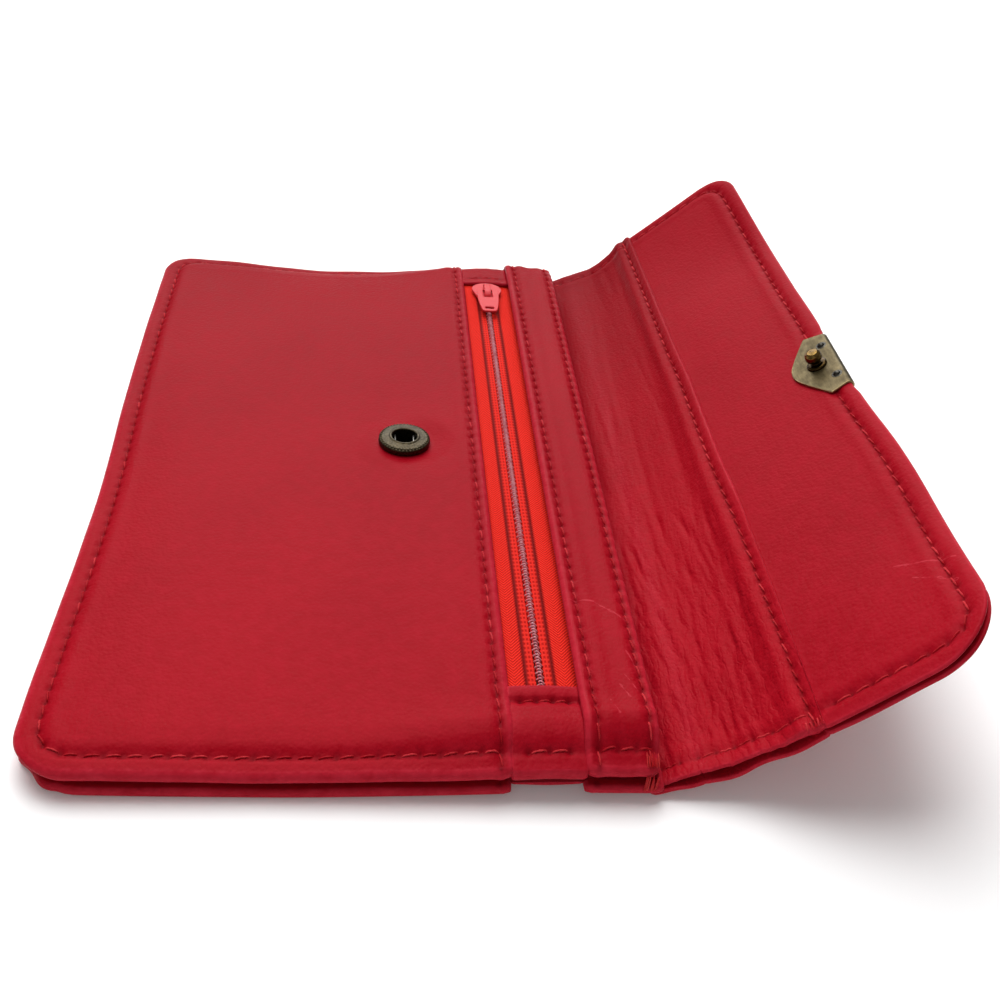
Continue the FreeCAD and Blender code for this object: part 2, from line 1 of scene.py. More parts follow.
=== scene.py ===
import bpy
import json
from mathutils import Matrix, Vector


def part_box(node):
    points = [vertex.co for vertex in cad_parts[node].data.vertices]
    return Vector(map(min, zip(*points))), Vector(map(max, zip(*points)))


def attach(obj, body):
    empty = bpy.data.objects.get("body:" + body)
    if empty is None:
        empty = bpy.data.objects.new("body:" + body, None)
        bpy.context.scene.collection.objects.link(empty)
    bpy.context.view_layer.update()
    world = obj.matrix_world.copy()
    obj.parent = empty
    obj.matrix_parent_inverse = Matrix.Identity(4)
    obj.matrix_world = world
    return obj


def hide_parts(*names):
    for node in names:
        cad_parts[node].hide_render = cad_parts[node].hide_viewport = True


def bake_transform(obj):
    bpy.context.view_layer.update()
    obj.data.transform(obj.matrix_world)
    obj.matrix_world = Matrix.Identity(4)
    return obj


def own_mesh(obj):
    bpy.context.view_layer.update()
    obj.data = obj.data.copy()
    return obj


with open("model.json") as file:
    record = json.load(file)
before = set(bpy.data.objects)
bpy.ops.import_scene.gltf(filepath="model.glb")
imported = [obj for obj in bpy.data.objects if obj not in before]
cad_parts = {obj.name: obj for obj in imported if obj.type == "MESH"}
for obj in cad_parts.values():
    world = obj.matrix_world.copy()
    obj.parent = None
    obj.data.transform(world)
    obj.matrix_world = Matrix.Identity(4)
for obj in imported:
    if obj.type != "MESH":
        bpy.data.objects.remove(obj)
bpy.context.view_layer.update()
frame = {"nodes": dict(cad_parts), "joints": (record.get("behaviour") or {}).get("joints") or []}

import json
import math
import random

import bpy
import numpy as np
from mathutils import Matrix

# Looks of the phone wallet case. Lengths are millimetres until a mesh is made.

MM = 0.001


def corners(node):
    """A CAD node's lowest and highest corners."""
    low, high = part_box(node)
    return np.array(low) / MM, np.array(high) / MM


PANEL_LOW, PANEL_HIGH = corners("front_panel")
STRIP_LOW, STRIP_HIGH = corners("mouth_strip")
LEFT, PANEL_EDGE, HALF = PANEL_LOW[0], PANEL_HIGH[0], PANEL_HIGH[1]
STRIP_EDGE, RIGHT = STRIP_LOW[0], STRIP_HIGH[0]
ZIP = (PANEL_EDGE + STRIP_EDGE) / 2
WINDOW = corners("zip_patch_far")[0][1]
SNAP = sum(corners("socket_ring")) / 2
PLATE_Y = float(sum(corners("ball_stud"))[1] / 2)
TAPE_TOP = corners("zip_tape_left")[1][2]
HINGE = {j["name"]: np.array(j["pos_m"]) / MM for j in frame["joints"] if "pos_m" in j}
H1, H2 = HINGE["spine_hinge"], HINGE["flap_hinge"]
SPINE_ANGLE = math.atan2(H2[2] - H1[2], H2[0] - H1[0])
FLAP_ANGLE = math.radians(34.0)

# Heights above the table.
SEAT = 7.45
RIM = 5.0
BACK_TOP = 1.72

# Seams, measured from the edge that they follow.
SEAM_IN, FOLD_SEAM, MOUTH_SEAM = 3.3, 2.0, 1.5
PITCH = 3.0

CORNER = 8.6
GUSSET_HALF = 84.0

# The gusset's seam and the flap's edge, measured along the flap from its hinge.
FLAP_SEAM, FLAP_EDGE = 13.6, 42.2

random.seed(11)
rng = np.random.default_rng(11)


# ---------------------------------------------------------------- small maths


def smooth(t):
    t = np.clip(t, 0.0, 1.0)
    return t * t * (3 - 2 * t)


def bump(t):
    return np.exp(-t * t)


def ticks(low, high, step):
    return np.linspace(low, high, max(2, int(round((high - low) / step)) + 1))


def fine_ticks(low, high, lines, fine, coarse, reach=2.4):
    """Grid lines from low to high, close together within reach of the given lines."""
    values = [low]
    while values[-1] < high:
        near = min(abs(values[-1] - line) for line in lines)
        share = float(smooth((near - reach) / 3.0))
        values.append(values[-1] + fine + (coarse - fine) * share)
    values = np.array(values)
    return low + (values - low) * (high - low) / (values[-1] - low)


def unit(rows):
    return rows / np.linalg.norm(rows, axis=-1)[..., None]


def steps_along(path):
    """Distance along a path at each of its points."""
    return np.r_[0, np.cumsum(np.linalg.norm(np.diff(path, axis=0), axis=1))]


def ways_along(path):
    """A path's direction at each of its points."""
    return unit(np.gradient(path, axis=0))


def between(at, stations, rows):
    """The rows' values at places between their stations."""
    return np.stack([np.interp(at, stations, column) for column in rows.T], -1)


def along(path, step):
    """The path at equal steps, as near to step as divides it evenly."""
    lengths = steps_along(path)
    count = max(2, int(round(lengths[-1] / step)) + 1)
    return between(np.linspace(0, lengths[-1], count), lengths, path)


def rounded_corner(before, here, after, radius, count):
    """Points on a curve that leaves its two runs a radius away from their corner."""
    a = here + unit(before - here) * radius
    b = here + unit(after - here) * radius
    return [(1 - t) ** 2 * a + 2 * t * (1 - t) * here + t * t * b for t in np.linspace(0, 1, count)]


def rounded_path(points, radius, step=0.5):
    """A dense path along the points' runs, its inner corners rounded."""
    points = [np.array(p, float) for p in points]
    runs = [points[0]]
    for before, here, after in zip(points, points[1:], points[2:]):
        runs += rounded_corner(before, here, after, radius, 9)
    return along(np.array(runs + [points[-1]]), step)


def nearest(points, marks):
    """Distance from each point to the nearest of the marks."""
    best = np.full(len(points), 1e9)
    for start in range(0, len(marks), 64):
        part = marks[start : start + 64]
        gaps = ((points[:, None, :] - part[None]) ** 2).sum(-1)
        best = np.minimum(best, gaps.min(1))
    return np.sqrt(best)


# ---------------------------------------------------------------- how the case lies


def settled(p):
    """The soft body isn't quite flat: its ends and left corners lift off the table."""
    x, y, z = p[..., 0], p[..., 1], p[..., 2]
    high = np.clip(z / RIM, 0, 1)
    lift = 0.3 * smooth((-18 - x) / 28) * smooth((-50 - y) / 34)
    lift = lift + (0.1 + 1.4 * smooth((x + 10) / 52)) * smooth((-72 - y) / 12)
    lift = lift + 0.8 * smooth((y - 73) / 11) * (smooth((x - 5) / 20) - 1.3 * smooth((x - 35) / 12))
    dip = 1.9 * smooth((y - 62) / 22) * bump((x + 4) / 30) * high
    dip = dip + 0.5 * smooth((-30 - x) / 14) * bump((y + 12) / 30) * high
    dip = dip + 1.1 * smooth((y - 70) / 12) * smooth((x - 33) / 12) * high
    shift_x = 1.1 * smooth((-30 - x) / 14) * bump((y + 22) / 34)
    shift_y = -1.3 * smooth((y - 60) / 24) * bump((x + 16) / 28)
    by_rim = np.maximum(smooth((np.abs(y) - 78) / 7), smooth((-40 - x) / 6)) * high
    long_waves = 0.10 * np.sin(x / 4.7 + 1.0) + 0.10 * np.sin(y / 6.1)
    lift = lift + by_rim * (long_waves + 0.06 * np.sin(x / 2.3 + y / 3.1))
    return np.stack([x + shift_x, y + shift_y, z + lift - dip], -1)


# ---------------------------------------------------------------- meshes


def make_object(name, points, faces, material, marks=None, is_smooth=True):
    """A mesh object in metres. marks are per-vertex numbers the materials read."""
    mesh = bpy.data.meshes.new(name)
    points = np.asarray(points, float)
    mesh.from_pydata((points * MM).tolist(), [], [list(f) for f in faces])
    mesh.update()
    if is_smooth:
        mesh.shade_smooth()
    rest = mesh.attributes.new("rest", "FLOAT_VECTOR", "POINT")
    rest.data.foreach_set("vector", points.astype(np.float32).ravel())
    for mark, values in (marks or {}).items():
        layer = mesh.attributes.new(mark, "FLOAT", "POINT")
        layer.data.foreach_set("value", np.asarray(values, np.float32))
    obj = bpy.data.objects.new(name, mesh)
    bpy.context.scene.collection.objects.link(obj)
    obj.data.materials.append(material)
    return obj


def finish_piece(obj, body, slot, *nodes):
    """A piece rides on a body and stands for the nodes, which are hidden. slot is not used."""
    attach(obj, body)
    if nodes:
        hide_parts(*nodes)
    return obj


def corner_radii(low, high):
    """Radii of the corners at an outline's low u and high u sides; an open side has None."""
    sides = ((-1, low), (1, high))
    return {(side, end): radius for side, radius in sides if radius is not None for end in (-1, 1)}


def round_corners(points, low, high, radii):
    """Draws a rectangular grid's corners in, so that its outline is rounded."""
    out = points.copy()
    for (side_u, side_v), radius in radii.items():
        side = np.array([side_u, side_v], float)
        corner = np.where(side > 0, high, low)
        centre = corner - side * radius
        away = (points - centre) * side
        inside = (away > 1e-9).all(1)
        part = away[inside]
        scale = part.max(1) / np.linalg.norm(part, axis=1)
        out[inside] = centre + part * scale[:, None] * side
    return out


class Skin:
    """A layer of leather or cloth over a (u, v) plane, with its outer height over(u, v),
    its thickness, and place(u, v, h), which puts a point into the case's own frame."""

    def __init__(self, over, place, thick, seams=(), flip=False):
        self.base, self.place, self.thick = over, place, thick
        self.seams, self.flip = list(seams), flip

    def over(self, u, v):
        height = self.base(u, v)
        flat = np.stack([np.ravel(u), np.ravel(v)], -1)
        for seam in self.seams:
            height = height - seam.sink(flat).reshape(np.shape(u))
        return height

    def at(self, u, v, lift):
        return self.place(u, v, self.over(u, v) + lift)

    def point(self, u, v, lift=0.0):
        return self.at(np.array([u]), np.array([v]), lift)[0]

    def build(self, name, us, vs, rim, radii, material, open_side=None, rings=8, hole=None):
        """A closed leaf with a rolled rim. us and vs are the outline's own grid lines.
        An open side, "low_u" or "high_u", has no rim: another leaf goes on from it."""
        low, high = np.array([us[0], vs[0]]), np.array([us[-1], vs[-1]])
        inner_low = low + rim * np.array([open_side != "low_u", True])
        inner_high = high - rim * np.array([open_side != "high_u", True])
        us = inner_low[0] + (us - low[0]) * (inner_high[0] - inner_low[0]) / (high[0] - low[0])
        vs = inner_low[1] + (vs - low[1]) * (inner_high[1] - inner_low[1]) / (high[1] - low[1])
        nu, nv = len(us), len(vs)
        grid = np.stack(np.meshgrid(us, vs, indexing="ij"), -1).reshape(-1, 2)
        inner = {k: max(r - rim, 0.05) for k, r in radii.items()}
        grid = round_corners(grid, inner_low, inner_high, inner)
        top = self.over(grid[:, 0], grid[:, 1])
        thick = self.thick(grid[:, 0], grid[:, 1]) + np.zeros(len(grid))
        index = np.arange(nu * nv).reshape(nu, nv)
        edge = np.r_[index[:-1, 0], index[-1, :-1], index[:0:-1, -1], index[0, :0:-1]]
        border = grid[edge]
        way = unit(np.roll(border, -1, 0) - np.roll(border, 1, 0))
        out = np.stack([way[:, 1], -way[:, 0]], -1)
        is_open = np.zeros(len(edge), bool)
        if open_side:
            is_open = np.abs(border[:, 0] - (low[0] if open_side == "low_u" else high[0])) < 1e-6
        out[is_open, 0] = 0
        flats, heights, rims = [grid], [top], [np.zeros(len(grid))]
        for k in range(1, rings):
            turn = math.pi * k / rings
            flats.append(border + out * rim * math.sin(turn))
            heights.append(top[edge] - thick[edge] / 2 * (1 - math.cos(turn)))
            rims.append(np.ones(len(edge)))
        flats.append(grid)
        heights.append(top - thick)
        rims.append(np.zeros(len(grid)))
        flat, height = np.concatenate(flats), np.concatenate(heights)
        points = self.place(flat[:, 0], flat[:, 1], height)

        a = index[:-1, :-1].ravel()
        cells = np.stack([a, a + nv, a + nv + 1, a + 1], -1)
        below = len(grid) + (rings - 1) * len(edge)
        if hole is not None:
            centre, radius = hole
            middles = grid[cells].mean(1)
            cells = cells[np.hypot(*(middles - centre).T) > radius]
        faces = [cells, (cells + below)[:, ::-1]]
        loops = [edge]
        loops += [len(grid) + k * len(edge) + np.arange(len(edge)) for k in range(rings - 1)]
        loops.append(edge + below)
        keep = ~(is_open & np.roll(is_open, -1))
        for upper, lower in zip(loops, loops[1:]):
            band = np.stack([upper, lower, np.roll(lower, -1), np.roll(upper, -1)], -1)
            faces.append(band[keep])
        faces = np.concatenate(faces)
        if self.flip:
            faces = faces[:, ::-1]
        inside = np.minimum(flat - low, high - flat).min(1)
        near_rim = np.concatenate(rims) * 0.5 + bump(inside / 1.6) * 0.5
        seam_shade = np.zeros(len(flat))
        for seam in self.seams:
            seam_shade = np.maximum(seam_shade, seam.shade(flat))
        return make_object(name, points, faces, material, {"rim": near_rim, "seam": seam_shade})


class Seam:
    """A line of stitches: holes one pitch apart in a shallow groove."""

    def __init__(self, points, radius=0.0, pitch=PITCH, depth=0.28, hole=0.42, swell=0.16):
        path = rounded_path(points, radius, 0.5) if radius else along(np.array(points, float), 0.5)
        self.path = path
        self.holes = along(path, pitch)
        self.depth, self.hole, self.swell = depth, hole, swell

    def sink(self, flat):
        line = nearest(flat, self.path)
        holes = nearest(flat, self.holes)
        swelling = self.swell * bump((line - 2.0) / 1.1)
        on_flat = smooth((HALF - 0.6 - np.abs(flat[:, 1])) / 1.6)
        return on_flat * (self.depth * bump(line / 0.75) + self.hole * bump(holes / 0.55) - swelling)

    def shade(self, flat):
        # Painted shade: how dark a point is in the seam's groove and stitch holes.
        line = nearest(flat, self.path)
        holes = nearest(flat, self.holes)
        return np.maximum(0.3 * bump(line / 0.45), 0.85 * bump(holes / 0.46))


def tube_mesh(name, tubes, sides, material, marks=None):
    """One mesh of closed tubes, each a (middle line, way up, radii round each point)."""
    turn = np.linspace(0, 2 * math.pi, sides, endpoint=False)
    ring = np.arange(sides)
    after = np.roll(ring, -1)
    points, faces, start = [], [], 0
    for line, up, radii in tubes:
        way = ways_along(line)
        side = unit(np.cross(way, up))
        top = np.cross(side, way)
        spokes = np.cos(turn)[:, None] * side[:, None] + np.sin(turn)[:, None] * top[:, None]
        points.append((line[:, None] + radii[..., None] * spokes).reshape(-1, 3))
        last = start + (len(line) - 1) * sides
        for a in range(start, last, sides):
            b = a + sides
            faces += np.stack([a + ring, b + ring, b + after, a + after], -1).tolist()
        faces += [(start + ring).tolist(), (last + ring)[::-1].tolist()]
        start = last + sides
    return make_object(name, np.concatenate(points), faces, material, marks)


def thread_mesh(name, lines, ups, material, radius=0.155, sides=8):
    """Two-ply thread along each short line, as one mesh."""
    turn = np.linspace(0, 2 * math.pi, sides, endpoint=False)
    lay = 0.95
    tubes, shades = [], []
    for line, up in zip(lines, ups):
        t = np.linspace(-1, 1, len(line))
        round_end = np.sqrt(np.clip(1 - np.abs(t) ** 7, 0.02, 1))
        twist = 1 + 0.17 * np.cos(2 * turn[None] - 2 * math.pi * steps_along(line)[:, None] / lay)
        tubes.append((line, up, radius * round_end[:, None] * twist))
        shades.append(np.full(len(line) * sides, rng.random()))
    return tube_mesh(name, tubes, sides, material, {"shade": np.concatenate(shades)})


class Thread:
    """Stitches gathered seam by seam, and made as one mesh."""

    def __init__(self):
        self.lines, self.ups = [], []

    def sew(self, skin, seam, lift=0.1, skip=None):
        """Stitches along a seam on a skin, apart from those that skip is true of."""
        lean, cover = 0.16, 0.8
        t = np.linspace(-0.5, 0.5, 11)
        arch = lift * np.sqrt(np.clip(1 - (2 * t) ** 2, 0, 1)) - 0.16 * (2 * np.abs(t)) ** 6
        for start, end in zip(seam.holes, seam.holes[1:]):
            middle = (start + end) / 2
            if skip and skip(middle):
                continue
            way = unit(end - start)
            side = np.array([-way[1], way[0]])
            share = cover * rng.uniform(0.92, 1.06)
            aside = t * 2 * lean * rng.uniform(0.6, 1.4)
            uv = middle + t[:, None] * share * (end - start) + aside[:, None] * side
            points = skin.at(uv[:, 0], uv[:, 1], arch)
            self.lines.append(points)
            self.ups.append(skin.at(uv[:, 0], uv[:, 1], arch + 0.2) - points)

    def bars(self, pairs, up, bulge):
        """Short straight stitches between pairs of points, bulging along up."""
        slack = 0.075
        t = np.linspace(0, 1, 9)[:, None]
        for start, end in pairs:
            start = start + rng.uniform(-slack, slack, 3)
            end = end + rng.uniform(-slack, slack, 3)
            self.lines.append(start + t * (end - start) + np.sin(math.pi * t) * np.array(up) * bulge)
            self.ups.append(up)

    def mesh(self, name, material, radius=0.155, sides=8):
        return thread_mesh(name, self.lines, self.ups, material, radius, sides)


# ---------------------------------------------------------------- materials


class Nodes:
    """A short way to write a node tree."""

    def __init__(self, name):
        self.material = bpy.data.materials.new(name)
        self.material.use_nodes = True
        self.tree = self.material.node_tree
        self.shader = self.tree.nodes["Principled BSDF"]

    def link(self, source, target):
        self.tree.links.new(source, target)

    def add(self, kind, **settings):
        node = self.tree.nodes.new(kind)
        for key, value in settings.items():
            setattr(node, key, value)
        return node

    def fill(self, node, values):
        for key, value in values.items():
            socket = node.inputs[key]
            if hasattr(value, "is_output"):
                self.link(value, socket)
            else:
                socket.default_value = value
        return node

    def rest(self):
        return self.add("ShaderNodeAttribute", attribute_name="rest").outputs["Vector"]

    def local(self):
        """An object's own coordinates, in millimetres."""
        place = self.add("ShaderNodeTexCoord").outputs["Object"]
        scaled = self.add("ShaderNodeVectorMath", operation="SCALE")
        return self.fill(scaled, {0: place, "Scale": 1 / MM}).outputs[0]

    def axes(self, place):
        """A place's X, Y and Z."""
        node = self.add("ShaderNodeSeparateXYZ")
        self.link(place, node.inputs[0])
        return node.outputs

    def mark(self, name):
        return self.add("ShaderNodeAttribute", attribute_name=name).outputs["Fac"]

    def noise(self, place, scale, detail=3.0, rough=0.5, distortion=0.0):
        node = self.add("ShaderNodeTexNoise")
        self.fill(node, {"Vector": place, "Scale": scale, "Detail": detail})
        return self.fill(node, {"Roughness": rough, "Distortion": distortion}).outputs["Fac"]

    def cells(self, place, scale, feature, smoothness=0.0):
        node = self.add("ShaderNodeTexVoronoi", feature=feature)
        self.fill(node, {"Vector": place, "Scale": scale})
        if feature == "SMOOTH_F1":
            node.inputs["Smoothness"].default_value = smoothness
        return node.outputs["Distance"]

    def apart(self, place, start, end):
        """Distance in plan from the line between two points, in millimetres."""
        start, end = np.array([*start, 0.0]), np.array([*end, 0.0])
        length = float(np.linalg.norm(end - start))
        way = (end - start) / length
        flat = self.stretched(place, (1.0, 1.0, 0.0))
        offset = self.add("ShaderNodeVectorMath", operation="SUBTRACT")
        self.fill(offset, {0: flat, 1: tuple(start)})
        run = self.add("ShaderNodeVectorMath", operation="DOT_PRODUCT")
        self.fill(run, {0: offset.outputs[0], 1: tuple(way)})
        held = self.add("ShaderNodeClamp")
        self.fill(held, {"Value": run.outputs["Value"], "Min": 0.0, "Max": length})
        foot = self.add("ShaderNodeVectorMath", operation="SCALE")
        self.fill(foot, {0: tuple(way), "Scale": held.outputs[0]})
        gap = self.add("ShaderNodeVectorMath", operation="DISTANCE")
        self.fill(gap, {0: offset.outputs[0], 1: foot.outputs[0]})
        return gap.outputs["Value"]

    def stretched(self, place, scale):
        node = self.add("ShaderNodeVectorMath", operation="MULTIPLY")
        return self.fill(node, {0: place, 1: scale}).outputs[0]

    def math(self, operation, a, b=0.0):
        node = self.add("ShaderNodeMath", operation=operation)
        return self.fill(node, {0: a, 1: b}).outputs[0]

    def span(self, value, low, high, to_low=0.0, to_high=1.0):
        node = self.add("ShaderNodeMapRange")
        self.fill(node, {"Value": value, "From Min": low, "From Max": high})
        self.fill(node, {"To Min": to_low, "To Max": to_high})
        return node.outputs["Result"]

    def mix(self, share, a, b):
        """Colour a, turned towards colour b by a share."""
        a, b = (c if hasattr(c, "is_output") else (*c, 1.0) for c in (a, b))
        node = self.add("ShaderNodeMix", data_type="RGBA")
        return self.fill(node, {0: share, 6: a, 7: b}).outputs[2]

    def bump(self, height, distance, strength=1.0, normal=None):
        node = self.add("ShaderNodeBump")
        self.fill(node, {"Height": height, "Distance": distance * MM, "Strength": strength})
        if normal is not None:
            self.link(normal, node.inputs["Normal"])
        return node.outputs["Normal"]

    def surface(self, **values):
        """Sets the shader's sockets, each by a short name or by its own."""
        names = {
            "color": "Base Color", "rough": "Roughness", "normal": "Normal", "metal": "Metallic",
            "specular": "Specular IOR Level",
        }
        self.fill(self.shader, {names.get(key, key): value for key, value in values.items()})
        return self.material


# Pale rim colour: partly wear, partly painted sheen on the rolled rims.
RUB_AND_SHEEN = (0.53, 0.025, 0.046)
SCRATCHED = (0.62, 0.06, 0.085)


def darker(color, share):
    return tuple(c * share for c in color)


def soft_creases(n, place, normal, depth):
    """Long folds, and a web of fine creases towards the near end."""
    fold = n.noise(n.stretched(place, (0.5, 0.13, 0.5)), 1.0, 5.0, 0.62, 0.6)
    normal = n.bump(fold, depth, 1.0, normal)
    near_end = n.span(n.axes(place)["Y"], -15.0, -62.0, 0.12, 1.0)
    drift = n.add("ShaderNodeTexNoise")
    n.fill(drift, {"Vector": place, "Scale": 0.5, "Detail": 2.0})
    web_place = n.add("ShaderNodeVectorMath", operation="ADD")
    shift = n.stretched(drift.outputs["Color"], (1.4, 0.5, 0.5))
    n.fill(web_place, {0: n.stretched(place, (1.0, 0.2, 0.5)), 1: shift})
    web = n.span(n.cells(web_place.outputs[0], 1.0, "DISTANCE_TO_EDGE"), 0.0, 0.2)
    return n.bump(n.math("MULTIPLY", web, near_end), 0.06, 0.9, normal)


def leather(name, tone, pale, dark, grain=1.0, creases=0.0, glaze=0.36, scratches=(), far_shade=(0.0, 0.0)):
    """Glazed fine-grained leather: pebble grain, pores, mottled dye, rims paled by wear and painted sheen.
    far_shade is where along Y a painted shade towards the far end starts, and how dark it gets."""
    n = Nodes(name)
    place = n.rest()
    far_y = 82.0
    broad = n.noise(place, 0.035, 2.0)
    mottle = n.noise(place, 0.45, 4.0, 0.6)
    color = n.mix(n.span(broad, 0.35, 0.65, 0.0, 0.55), tone, dark)
    color = n.mix(n.span(mottle, 0.4, 0.75, 0.0, 0.28), color, pale)
    rim = n.math("POWER", n.mark("rim"), 1.6)
    # Rims paled: partly wear, partly painted sheen.
    worn = n.math("MULTIPLY", rim, n.span(n.noise(place, 0.5, 3.0), 0.3, 0.7, 0.35, 0.75))
    color = n.mix(worn, color, RUB_AND_SHEEN)
    # Painted shade in the stitch grooves and holes.
    color = n.mix(n.math("MULTIPLY", n.mark("seam"), 0.85), color, darker(dark, 0.3))
    pebble = n.cells(place, 1.5, "SMOOTH_F1", 0.5)
    pores = n.noise(place, 3.2, 2.0, 0.6)
    streaks = n.noise(n.stretched(place, (0.9, 0.12, 0.5)), 1.0, 5.0, 0.7)
    color = n.mix(n.span(pebble, 0.55, 0.95, 0.0, 0.16), color, dark)
    height = n.math("ADD", n.math("MULTIPLY", pebble, -0.6), n.math("MULTIPLY", pores, 0.4))
    normal = n.bump(height, 0.1 * grain, 1.0)
    normal = n.bump(streaks, 0.12, 0.4, normal)
    if creases:
        normal = soft_creases(n, place, normal, creases)
    # Painted shade: the colour darkens towards the far end.
    color = n.mix(n.span(n.axes(place)["Y"], far_shade[0], far_y, 0.0, far_shade[1]), color, darker(dark, 0.5))
    for start, end, width in scratches:
        wobble = n.math("MULTIPLY", n.noise(place, 0.8, 2.0), 0.8)
        away = n.math("ADD", n.apart(place, start, end), n.math("SUBTRACT", wobble, 0.4))
        color = n.mix(n.span(n.math("ABSOLUTE", away), 0.0, width, 0.5, 0.0), color, SCRATCHED)
    matt = n.span(mottle, 0.3, 0.7, glaze, glaze + 0.12)
    rough = n.math("SUBTRACT", matt, n.math("MULTIPLY", n.mark("rim"), 0.1))
    return n.surface(color=color, rough=rough, normal=normal, specular=0.03)


def thread_material(name, tone, glint):
    n = Nodes(name)
    place = n.rest()
    # Painted highlight: some stitches, picked by their random shade mark, take the glint colour.
    color = n.mix(n.span(n.mark("shade"), 0.35, 1.0, 0.0, 0.9), tone, glint)
    fibre = n.noise(place, 6.0, 3.0, 0.7)
    color = n.mix(n.span(fibre, 0.35, 0.7, 0.0, 0.35), color, darker(tone, 0.5))
    rough = n.span(fibre, 0.2, 0.8, 0.3, 0.5)
    return n.surface(color=color, rough=rough, normal=n.bump(fibre, 0.05, 0.8), specular=0.06)


def tape_material():
    """Polyester tape: a diagonal twill outside, a ladder of yarns beside the teeth."""
    n = Nodes("zip_tape_weave")
    place = n.rest()
    y = n.axes(place)["Y"]
    across = n.math("ABSOLUTE", n.math("SUBTRACT", n.axes(place)["X"], float(ZIP)))

    def ribs(phase, pitch):
        wave = n.math("SINE", n.math("MULTIPLY", phase, 2 * math.pi / pitch))
        return n.math("ADD", n.math("MULTIPLY", wave, 0.5), 0.5)

    chevron = n.math("ABSOLUTE", n.math("SUBTRACT", across, 4.0))
    diagonal = n.math("SUBTRACT", y, n.math("MULTIPLY", chevron, 1.25))
    twill = ribs(diagonal, 0.66)
    yarn = ribs(n.math("ADD", n.math("MULTIPLY", chevron, 1.9), y), 0.5)
    twill = n.math("ADD", n.math("MULTIPLY", twill, 0.65), n.math("MULTIPLY", yarn, 0.35))
    ladder = n.math("MAXIMUM", ribs(y, 1.05), ribs(n.math("SUBTRACT", across, 0.75), 0.6))
    is_outer = n.span(across, 2.25, 2.4)
    weave = n.add("ShaderNodeMix", data_type="FLOAT")
    n.fill(weave, {0: is_outer, 2: ladder, 3: twill})
    weave = weave.outputs[0]
    fuzz_and_glints = n.noise(place, 5.0, 3.0, 0.7)
    color = n.mix(n.span(weave, 0.15, 0.8), (0.42, 0.004, 0.003), (0.95, 0.032, 0.018))
    # Paler speckles: partly fibre fuzz, partly painted speckled highlights.
    color = n.mix(n.span(fuzz_and_glints, 0.45, 0.8, 0.0, 0.4), color, (0.86, 0.05, 0.03))
    color = n.mix(is_outer, n.mix(0.45, color, (0.40, 0.006, 0.005)), color)
    # Painted shade in the groove between the ladder and the twill.
    groove = n.span(n.math("ABSOLUTE", n.math("SUBTRACT", across, 2.2)), 0.12, 0.5, 0.9, 0.0)
    color = n.mix(groove, color, (0.12, 0.0, 0.001))
    normal = n.bump(weave, 0.16, 0.9)
    normal = n.bump(fuzz_and_glints, 0.05, 0.6, normal)
    return n.surface(color=color, rough=0.62, normal=normal, specular=0.05)


def coil_material():
    n = Nodes("zip_coil_nylon")
    tint = n.noise(n.rest(), 0.9, 3.0)
    color = n.mix(n.span(tint, 0.3, 0.7), (0.52, 0.15, 0.18), (0.72, 0.34, 0.38))
    n.surface(color=color, rough=n.span(tint, 0.3, 0.7, 0.22, 0.4), specular=0.25)
    return n.surface(**{"Subsurface Weight": 0.15, "Subsurface Scale": 0.4 * MM})


def cloth_material():
    n = Nodes("lining_weave")
    place = n.rest()
    pitch = 0.55
    threads = []
    for axis in ("X", "Y"):
        wave = n.math("SINE", n.math("MULTIPLY", n.axes(place)[axis], 2 * math.pi / pitch))
        threads.append(n.math("ABSOLUTE", wave))
    weave = n.math("MAXIMUM", *threads)
    tint = n.noise(place, 0.3, 4.0)
    color = n.mix(n.span(tint, 0.3, 0.7), (0.006, 0.005, 0.006), (0.022, 0.014, 0.016))
    return n.surface(color=color, rough=0.85, normal=n.bump(weave, 0.12, 0.8), **{"Sheen Weight": 0.2})


def metal(name, tone, bright, patina_and_shade, rough, edge_size, streak=(1.0, 1.0, 1.0), use_rest=True,
          rub_and_highlight=0.0, low_shade=0.0):
    """Antiqued metal, brushed, with edges brightened by wear and painted highlight. rub_and_highlight
    is how bright its rim is made, and low_shade how much painted shade darkens the rest of it."""
    n = Nodes(name)
    place = n.rest() if use_rest else n.local()
    patina = n.noise(place, 0.7, 5.0, 0.65)
    brushed = n.noise(n.stretched(place, streak), 3.0, 4.0, 0.7)
    speck = n.noise(place, 4.0, 3.0, 0.6)
    color = n.mix(n.span(patina, 0.3, 0.7), tone, patina_and_shade)
    color = n.mix(n.span(brushed, 0.42, 0.72, 0.0, 0.15), color, bright)
    bevel = n.add("ShaderNodeBevel", samples=6)
    bevel.inputs["Radius"].default_value = edge_size * MM
    geometry = n.add("ShaderNodeNewGeometry")
    apart = n.add("ShaderNodeVectorMath", operation="DOT_PRODUCT")
    n.link(bevel.outputs[0], apart.inputs[0])
    n.link(geometry.outputs["Normal"], apart.inputs[1])
    # Bevelled edges brightened: partly wear, partly painted highlight.
    edge = n.span(apart.outputs["Value"], 0.995, 0.9, 0.0, 0.85)
    color = n.mix(edge, color, bright)
    # Rim brightened: partly wear, partly painted highlight.
    if rub_and_highlight:
        color = n.mix(n.math("MULTIPLY", n.math("POWER", n.mark("rim"), 2.5), rub_and_highlight), color, bright)
    # Painted shade: where the rim mark is low, as on the stud's lower side, the colour darkens.
    if low_shade:
        color = n.mix(n.span(n.mark("rim"), 0.0, 1.0, low_shade, 0.0), color, darker(patina_and_shade, 0.4))
    normal = n.bump(brushed, 0.02, 0.6)
    normal = n.bump(speck, 0.015, 0.5, normal)
    shine = n.span(patina, 0.3, 0.7, rough, rough + 0.18)
    return n.surface(color=color, metal=1.0, rough=shine, normal=normal)


